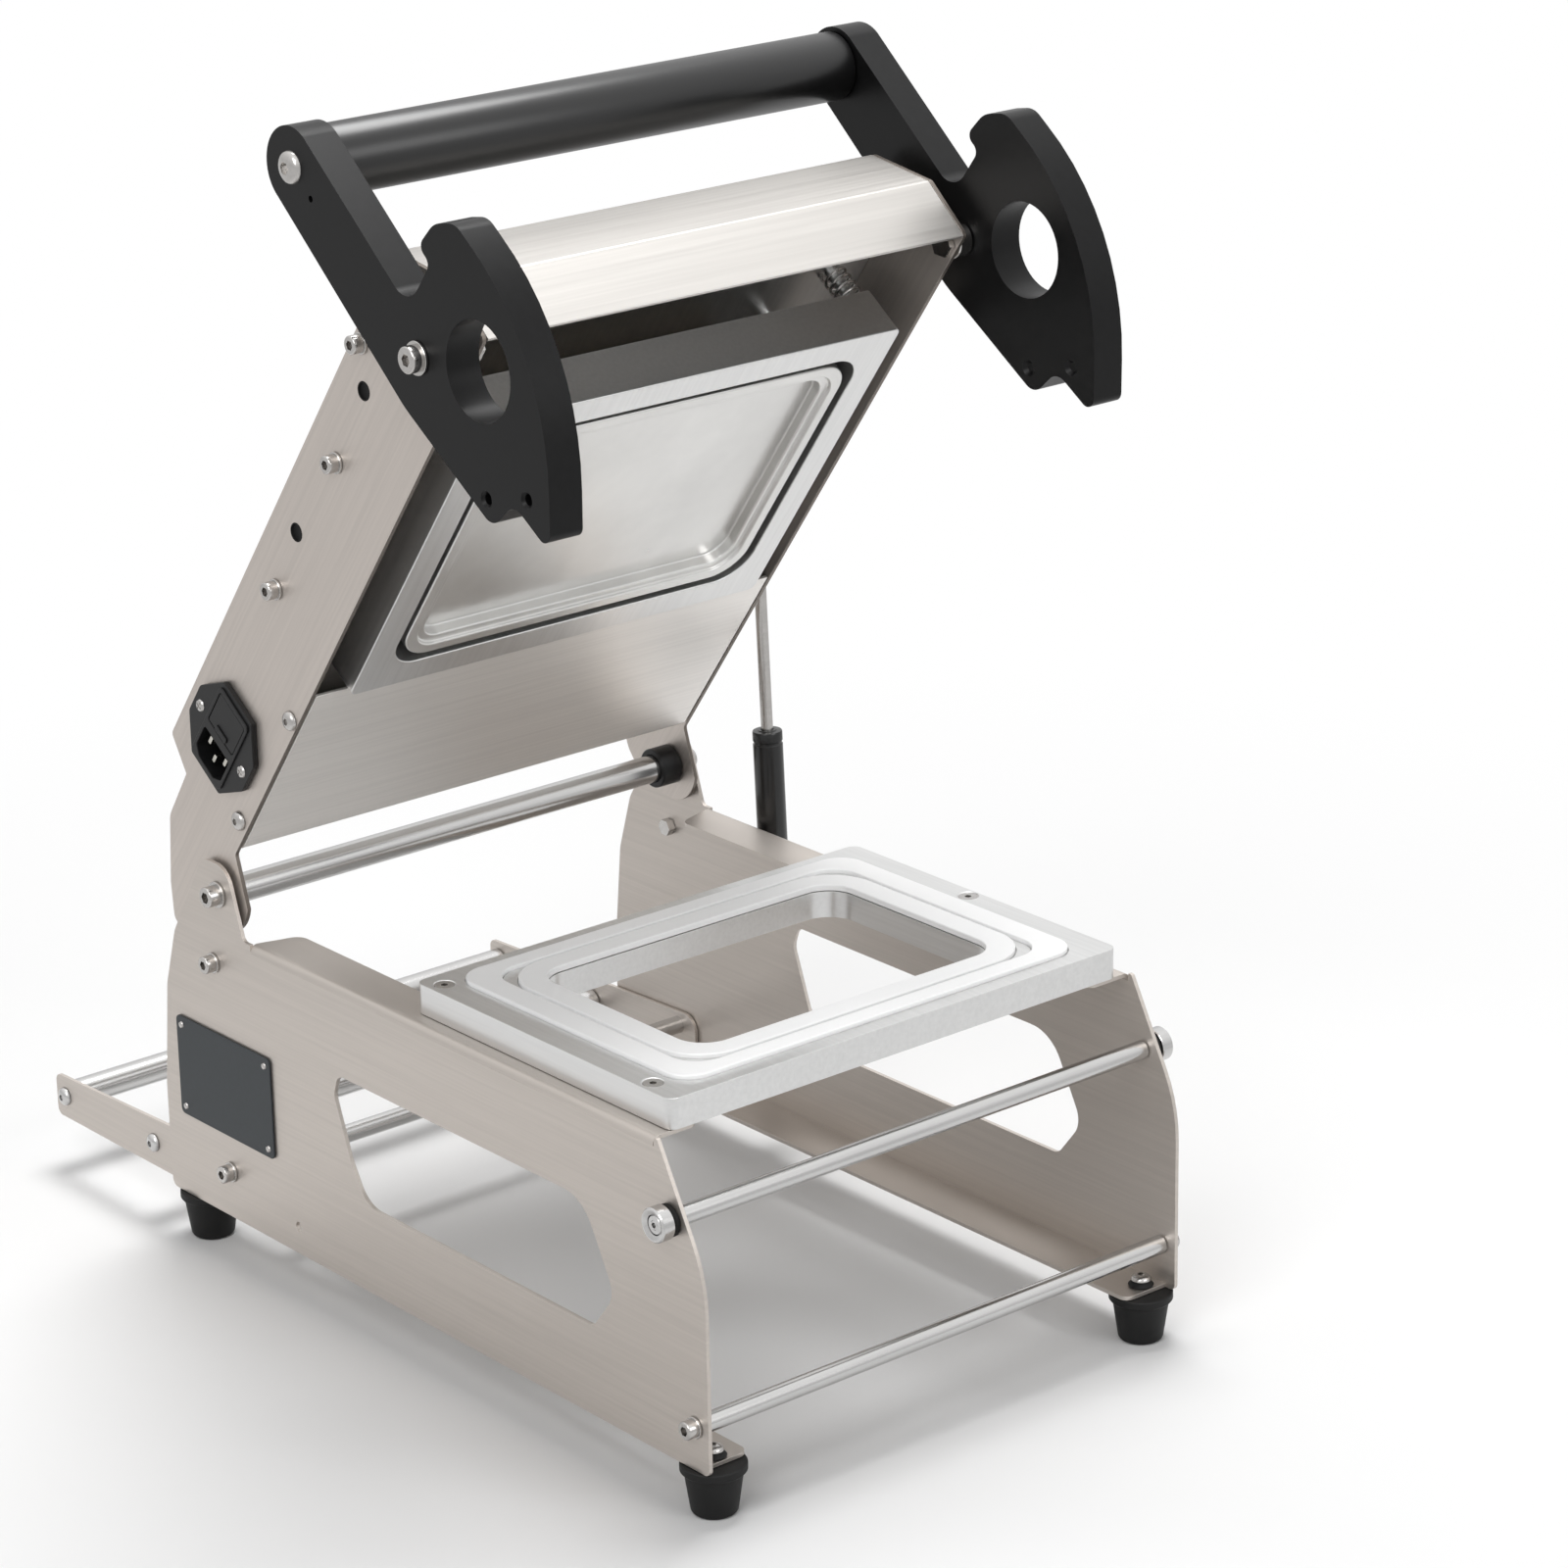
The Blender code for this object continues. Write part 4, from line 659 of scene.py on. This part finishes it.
# --- inlet, controller and switch -----------------------------------------------------------
fi, bi = INLET
flange = rounded([(fi - 26, bi - 13, 2), (fi - 9, bi - 25.5, 4), (fi + 9, bi - 25.5, 4),
                  (fi + 26, bi - 13, 2), (fi + 26, bi + 13, 2), (fi + 9, bi + 25.5, 4),
                  (fi - 9, bi + 25.5, 4), (fi - 26, bi + 13, 2)])
socket = rounded([(fi - 21.5, bi - 6.5, 2), (fi - 17.5, bi - 11.5, 2), (fi - 4, bi - 11.5, 2),
                  (fi - 4, bi + 11.5, 2), (fi - 17.5, bi + 11.5, 2), (fi - 21.5, bi + 6.5, 2)])
collar = cut(upright([flange], -LID_W / 2 - CLEAR, -INLET_FACE),
             upright([rectangle(45, 25, 2, (fi, bi))], -150, -120))
inner = cut(upright([rectangle(*INLET_BODY, INLET)], -140.3, -108),
            upright([socket], -150, -122),
            upright([rectangle(20, 23, 1.5, (fi + 11, bi))], -150, -138.6))
piece("inlet_body", together(collar, inner), LID, "lid", PLASTIC, ["power_inlet"], 0.5, 3)
drawer = together(upright([rectangle(19.4, 22.4, 1.2, (fi + 11, bi))], -138.7, -140.1),
                  upright([rectangle(3, 10, 1, (fi + 3.5, bi))], -140.0, -140.9))
piece("fuse_drawer", drawer, LID, "lid", PLASTIC, (), 0.4, 3)
for k, (df, db) in enumerate(((2.0, -7.0), (-3.5, 0.0), (2.0, 7.0))):
    piece(f"inlet_pin_{k}", upright([rectangle(4.4, 2.2, 0.6, (fi - 12.5 + df, bi + db))], -122,
                                    -137.5), LID, "lid", BRASS, (), 0.3)
for k, (f, b) in enumerate(((70.4, 60.0), (69.4, 20.1))):
    head = cut(turned([(0, 1.0), (1.6, 0.95), (2.6, 0.6), (3.0, 0.0), (0, 0.0)]),
               upright([[(-2.0, -0.35), (2.0, -0.35), (2.0, 0.35), (-2.0, 0.35)]], 0.5, 3),
               upright([[(-0.35, -2.0), (0.35, -2.0), (0.35, 2.0), (-0.35, 2.0)]], 0.5, 3))
    piece(f"inlet_screw_{k}", head, LID @ shift(-INLET_FACE, f, b) @ facing(-1), "lid", POLISHED, (),
          0)

cx, cf = CONTROLLER
bezel_low = LID_TOP + CLEAR
bezel = cut(lying([rectangle(49, 49, 3, CONTROLLER)], bezel_low, BEZEL_TOP),
            lying([rectangle(41, 33, 2, (cx, cf - 4))], 74.3, 80))
body = lying([rectangle(*CONTROLLER_BODY, CONTROLLER)], 32.3, 72.5)
piece("controller_case", together(bezel, body), LID, "lid", PLASTIC, ["temperature_controller"],
      0.4, 3)
piece("controller_lens", lying([rectangle(38, 18, 1.5, (cx, cf - 10.5))], 74.3, 74.9), LID, "lid",
      LENS, (), 0.2)
for k in range(4):
    piece(f"controller_key_{k}", lying([rectangle(7, 5, 1, (cx + (k - 1.5) * 9.5, cf + 6))], 74.3,
                                       75.6), LID, "lid", DARK_PARTS_AND_HOLE_SHADE, (), 0.3)
well = rectangle(16, 25, 1, SWITCH)
rim = cut(lying([rectangle(23, 32, 2, SWITCH)], bezel_low, BEZEL_TOP), lying([well], 60, 80))
case = cut(lying([rectangle(*SWITCH_BODY, SWITCH)], 50.3, 72.4), lying([well], 63.3, 80))
piece("switch_case", together(rim, case), LID, "lid", PLASTIC, ["power_switch"], 0.3)
rocker = rounded([(-11.3, 4.6, 1), (0, 2.2, 14), (11.3, 4.6, 1), (9.4, -4, 2), (2, -7, 1),
                  (-2, -7, 1), (-9.4, -4, 2)])
piece("rocker_key", upright([rocker], -7.7, 7.7),
      LID @ shift(*SWITCH, BEZEL_TOP - 2) @ Matrix.Rotation(math.radians(10), 4, "X"),
      "switch_rocker", DARK_PARTS_AND_HOLE_SHADE, ["switch_rocker"], 0.5, 3)

# --- lever ----------------------------------------------------------------------------------
lever = rounded(
    [(a, b, 0) for a, b in arc(GRIP, LEVER_END_R, 180, 0)]
    + [(13.0, 16.5, 11), (40.5, 16.0, 4), (41.0, 26.0, 7), (57.0, 23.5, 14), (67.9, 13.0, 14)]
    + [(a, b, 0) for a, b in arc((-50.0, 0.5), 117.8, 1, -55)]
    + [(-1.5, -109.5, 4.5), (-3.0, -80.5, 8), (-22.5, -76.5, 8), (-25.8, -5.0, 60)])
for side in (-1, 1):
    own = side_name(side)
    holes = [circle(CAM_HOLE, CAM_HOLE_D), circle((0, 0), 8.6)]
    arm = upright([lever] + holes, side * LEVER_X, side * LEVER_OUT)
    dimples = [upright([circle(at, 5.0)], side * 130, side * 170) for at in CAM_DIMPLES]
    for at in CAM_DIMPLES:
        for x, out in ((side * LEVER_OUT, side), (side * LEVER_X, -side)):
            sink = turned([(0, 3), (6.8, 3), (2.0, -1.8), (0, -1.8)])
            sink.transform(shift(x, *at) @ facing(out))
            dimples.append(sink)
    pin = turned([(0, 10), (1.5, 10), (1.5, -5), (0, -5)], sides=24)
    pin.transform(shift(side * LEVER_OUT, 1.0, 92.0) @ facing(side))
    piece(f"arm_{own}", cut(arm, *dimples, pin), LEVER, "lever", BLACK, [f"lever_arm_{own}"],
          1.5, 4)
    bolt = screw_mesh(12.0, 5.0, 15.0, 5.0, 1.2)
    shank = turned([(0, 0.5), (7.5, 0.5), (8, 0.0), (8, -6.4), (7.5, -6.9), (0, -6.9)])
    shank.transform(Matrix.Translation(((LEVER_X - LEVER_OUT - 0.8) * MM, 0, 0)))
    nut = hexagon(11.5, LID_W / 2 - LEVER_OUT - 5.3, LID_W / 2 - LEVER_OUT - 2.3)
    piece(f"pivot_bolt_{own}", together(bolt, shank, nut),
          LID @ shift(side * LEVER_OUT, *HINGE_PIN) @ facing(side), "lid", POLISHED,
          [f"lever_bolt_{own}"], 0)
    screw(f"grip_screw_{own}", screw_mesh(15.0, 3.6, 18.0, 5.0, 0.6, True), LEVER, "lever",
          side * (LEVER_OUT - 0.9), *GRIP, side)
half, grip_r = LEVER_X - CLEAR, GRIP_D / 2
end = [(0, half), (grip_r - 1.6, half), (grip_r - 0.4, half - 0.5), (grip_r, half - 1.5)]
tube = turned(end + [(r, -h) for r, h in reversed(end)], sides=96)
piece("grip_tube", tube, LEVER @ shift(0, *GRIP), "lever", GRIP_BLACK, ["lever_grip"], 0)

# --- gas strut ------------------------------------------------------------------------------
top = 170.0
tube = turned([(3.3, top - 12), (3.3, top), (4.6, top), (5.0, top - 0.4), (7.2, top - 0.6),
               (7.5, top - 1.2), (7.5, top - 5.5), (7.1, top - 6.0), (7.1, top - 7.0),
               (7.5, top - 7.5), (7.5, 17.0), (6.8, 15.2), (4.4, 14.2), (3.4, 13.6), (3.4, 6.5),
               (0, 6.5)], "Z")
eye = [(4.3, 4), (7.6, 4), (8, 3.6), (8, -3.6), (7.6, -4), (4.3, -4), (4.3, 4)]
piece("strut_tube", together(tube, turned(eye)), STRUT, "strut_cylinder", TUBE_BLACK,
      ["strut_cylinder"], 0)
reach = STRUT_REACH
eye_top = turned(eye, at=(0, 0, reach))
shaft = turned([(0, reach - 6.5), (3, reach - 6.5), (3, 140.3), (2.7, 140), (0, 140)], "Z")
ferrule = turned([(0, reach - 6.2), (4.4, reach - 6.2), (4.8, reach - 6.8), (4.8, reach - 17),
                  (4.2, reach - 18), (0, reach - 18)], "Z")
piece("strut_shaft", together(shaft, eye_top), STRUT, "strut_rod", POLISHED, ["strut_rod"], 0)
piece("strut_ferrule", ferrule, STRUT, "strut_rod", TUBE_BLACK, (), 0)


def stud_mesh(head, plate_out, plate_in):
    """A stud through a plate, with its collar and nut; head is the outline of its free end."""
    shoulder, tail = plate_out + CLEAR, plate_in - CLEAR
    collar_end = head[-1][1]
    return turned(head + [(6.6, collar_end), (7, collar_end - 0.4), (7, shoulder), (4, shoulder),
                          (4, tail), (6.5, tail), (6.5, tail - 5), (0, tail - 5)])


eye_out, eye_in = STRUT_X + EYE_T / 2 + CLEAR, STRUT_X - EYE_T / 2 - CLEAR
head = [(0, eye_out + 4), (5.4, eye_out + 4), (6, eye_out + 3.4), (6, eye_out), (4, eye_out),
        (4, eye_in)]
piece("stud_lower", stud_mesh(head, BASE_W / 2, IN_BASE), BASE @ shift(0, *STUD_BASE), "base",
      POLISHED, ["strut_stud_base"], 0)
tip = STRUT_X - EYE_T / 2 - OPEN_PIVOT_GAP
head = [(0, tip), (3.6, tip), (4, tip - 0.4), (4, BASE_W / 2 + CLEAR)]
piece("stud_upper", stud_mesh(head, LID_W / 2, IN_LID), LID @ shift(0, *STUD_LID), "lid",
      POLISHED, ["strut_stud_lid"], 0)

# --- floor, light and camera ----------------------------------------------------------------
scene = bpy.context.scene
scene.view_settings.view_transform = "Standard"


def greatest(tree, *sockets):
    """The largest of several values."""
    level = sockets[0]
    for socket in sockets[1:]:
        most = node(tree, "Math", operation="MAXIMUM")
        link(tree, level, most.inputs[0])
        link(tree, socket, most.inputs[1])
        level = most.outputs[0]
    return level


def mixed(tree, factor, first, second):
    both = node(tree, "MixShader")
    link(tree, factor, both.inputs["Fac"])
    link(tree, first, both.inputs[1])
    link(tree, second, both.inputs[2])
    return both.outputs[0]


# The floor keeps the shadows near the machine and fades into the white background
bpy.ops.mesh.primitive_plane_add(size=40, location=(0, 0, -0.0004))
floor = bpy.context.object
floor.name = "floor"
ground = bpy.data.materials.new("floor_pale")
ground.use_nodes = True
tree = ground.node_tree
tree.nodes.clear()
out = node(tree, "OutputMaterial")
matt = node(tree, "BsdfDiffuse", [("Color", (0.84, 0.84, 0.84, 1))]).outputs[0]
glow = node(tree, "Emission", [("Color", (1, 1, 1, 1))])
spot = node(tree, "TexCoord")
far = node(tree, "VectorMath", operation="LENGTH")
link(tree, spot.outputs["Object"], far.inputs[0])
fade = node(tree, "MapRange", [("From Min", 0.36), ("From Max", 0.95)],
            interpolation_type="SMOOTHSTEP")
link(tree, far.outputs["Value"], fade.inputs["Value"])
level = node(tree, "MapRange", [("To Min", 0.80), ("To Max", 1.0)])
rays = node(tree, "LightPath").outputs
link(tree, rays["Is Camera Ray"], level.inputs["Value"])
link(tree, level.outputs["Result"], glow.inputs["Strength"])
faded = mixed(tree, fade.outputs["Result"], matt, glow.outputs[0])
direct = greatest(tree, rays["Is Camera Ray"], rays["Is Glossy Ray"], rays["Is Transmission Ray"])
link(tree, mixed(tree, direct, matt, faded), out.inputs["Surface"])
floor.data.materials.append(ground)

# The world is white where it is seen, brighter overhead in reflections, and dim as a light
world = bpy.data.worlds.new("studio")
scene.world = world
world.use_nodes = True
tree = world.node_tree
tree.nodes.clear()
out = node(tree, "OutputWorld")
sky = node(tree, "Background", [("Color", (1, 1, 1, 1))])
way = node(tree, "TexCoord")
height = node(tree, "SeparateXYZ")
link(tree, way.outputs["Generated"], height.inputs[0])
ramp = node(tree, "MapRange", [("From Min", 0.0), ("From Max", 1.0), ("To Min", 0.72),
                               ("To Max", 1.35)])
link(tree, height.outputs["Z"], ramp.inputs["Value"])
rays = node(tree, "LightPath").outputs
mirrored = node(tree, "MapRange", [("To Min", 0.32)])
link(tree, rays["Is Glossy Ray"], mirrored.inputs["Value"])
link(tree, ramp.outputs["Result"], mirrored.inputs["To Max"])
total = node(tree, "MapRange", [("To Max", 1.0)])
link(tree, greatest(tree, rays["Is Camera Ray"], rays["Is Transmission Ray"]), total.inputs["Value"])
link(tree, mirrored.outputs["Result"], total.inputs["To Min"])
link(tree, total.outputs["Result"], sky.inputs["Strength"])
link(tree, sky.outputs[0], out.inputs["Surface"])


def lamp(name, at, target, size, power):
    data = bpy.data.lights.new(name, "AREA")
    data.shape = "RECTANGLE"
    data.size, data.size_y = size
    data.energy = power
    made = bpy.data.objects.new(name, data)
    scene.collection.objects.link(made)
    made.location = at
    made.rotation_euler = (Vector(target) - Vector(at)).to_track_quat("-Z", "Y").to_euler()


lamp("key", (-2.2, -1.2, 2.4), (0, 0, 0.2), (1.8, 1.8), 36)
lamp("front", (0.6, -2.8, 1.6), (0, 0, 0.3), (1.6, 1.2), 16)
lamp("top", (0.5, 0.4, 2.6), (0, 0, 0.1), (1.2, 1.2), 50)

yaw, pitch, roll = math.radians(39.637), math.radians(19.579), math.radians(-1.096)
ahead = Vector((math.sin(yaw) * math.cos(pitch), math.cos(yaw) * math.cos(pitch),
                -math.sin(pitch)))
right = Vector((math.cos(yaw), -math.sin(yaw), 0.0))
up = right.cross(ahead)
right, up = (math.cos(roll) * right + math.sin(roll) * up,
             -math.sin(roll) * right + math.cos(roll) * up)
camera = bpy.data.objects.new("camera", bpy.data.cameras.new("camera"))
scene.collection.objects.link(camera)
camera.data.lens, camera.data.sensor_width = 114.71, 36.0
turn = Matrix((right, up, -ahead)).transposed().to_4x4()
camera.matrix_world = Matrix.Translation((-1.3383, -1.7662, 1.0244)) @ turn
scene.camera = camera
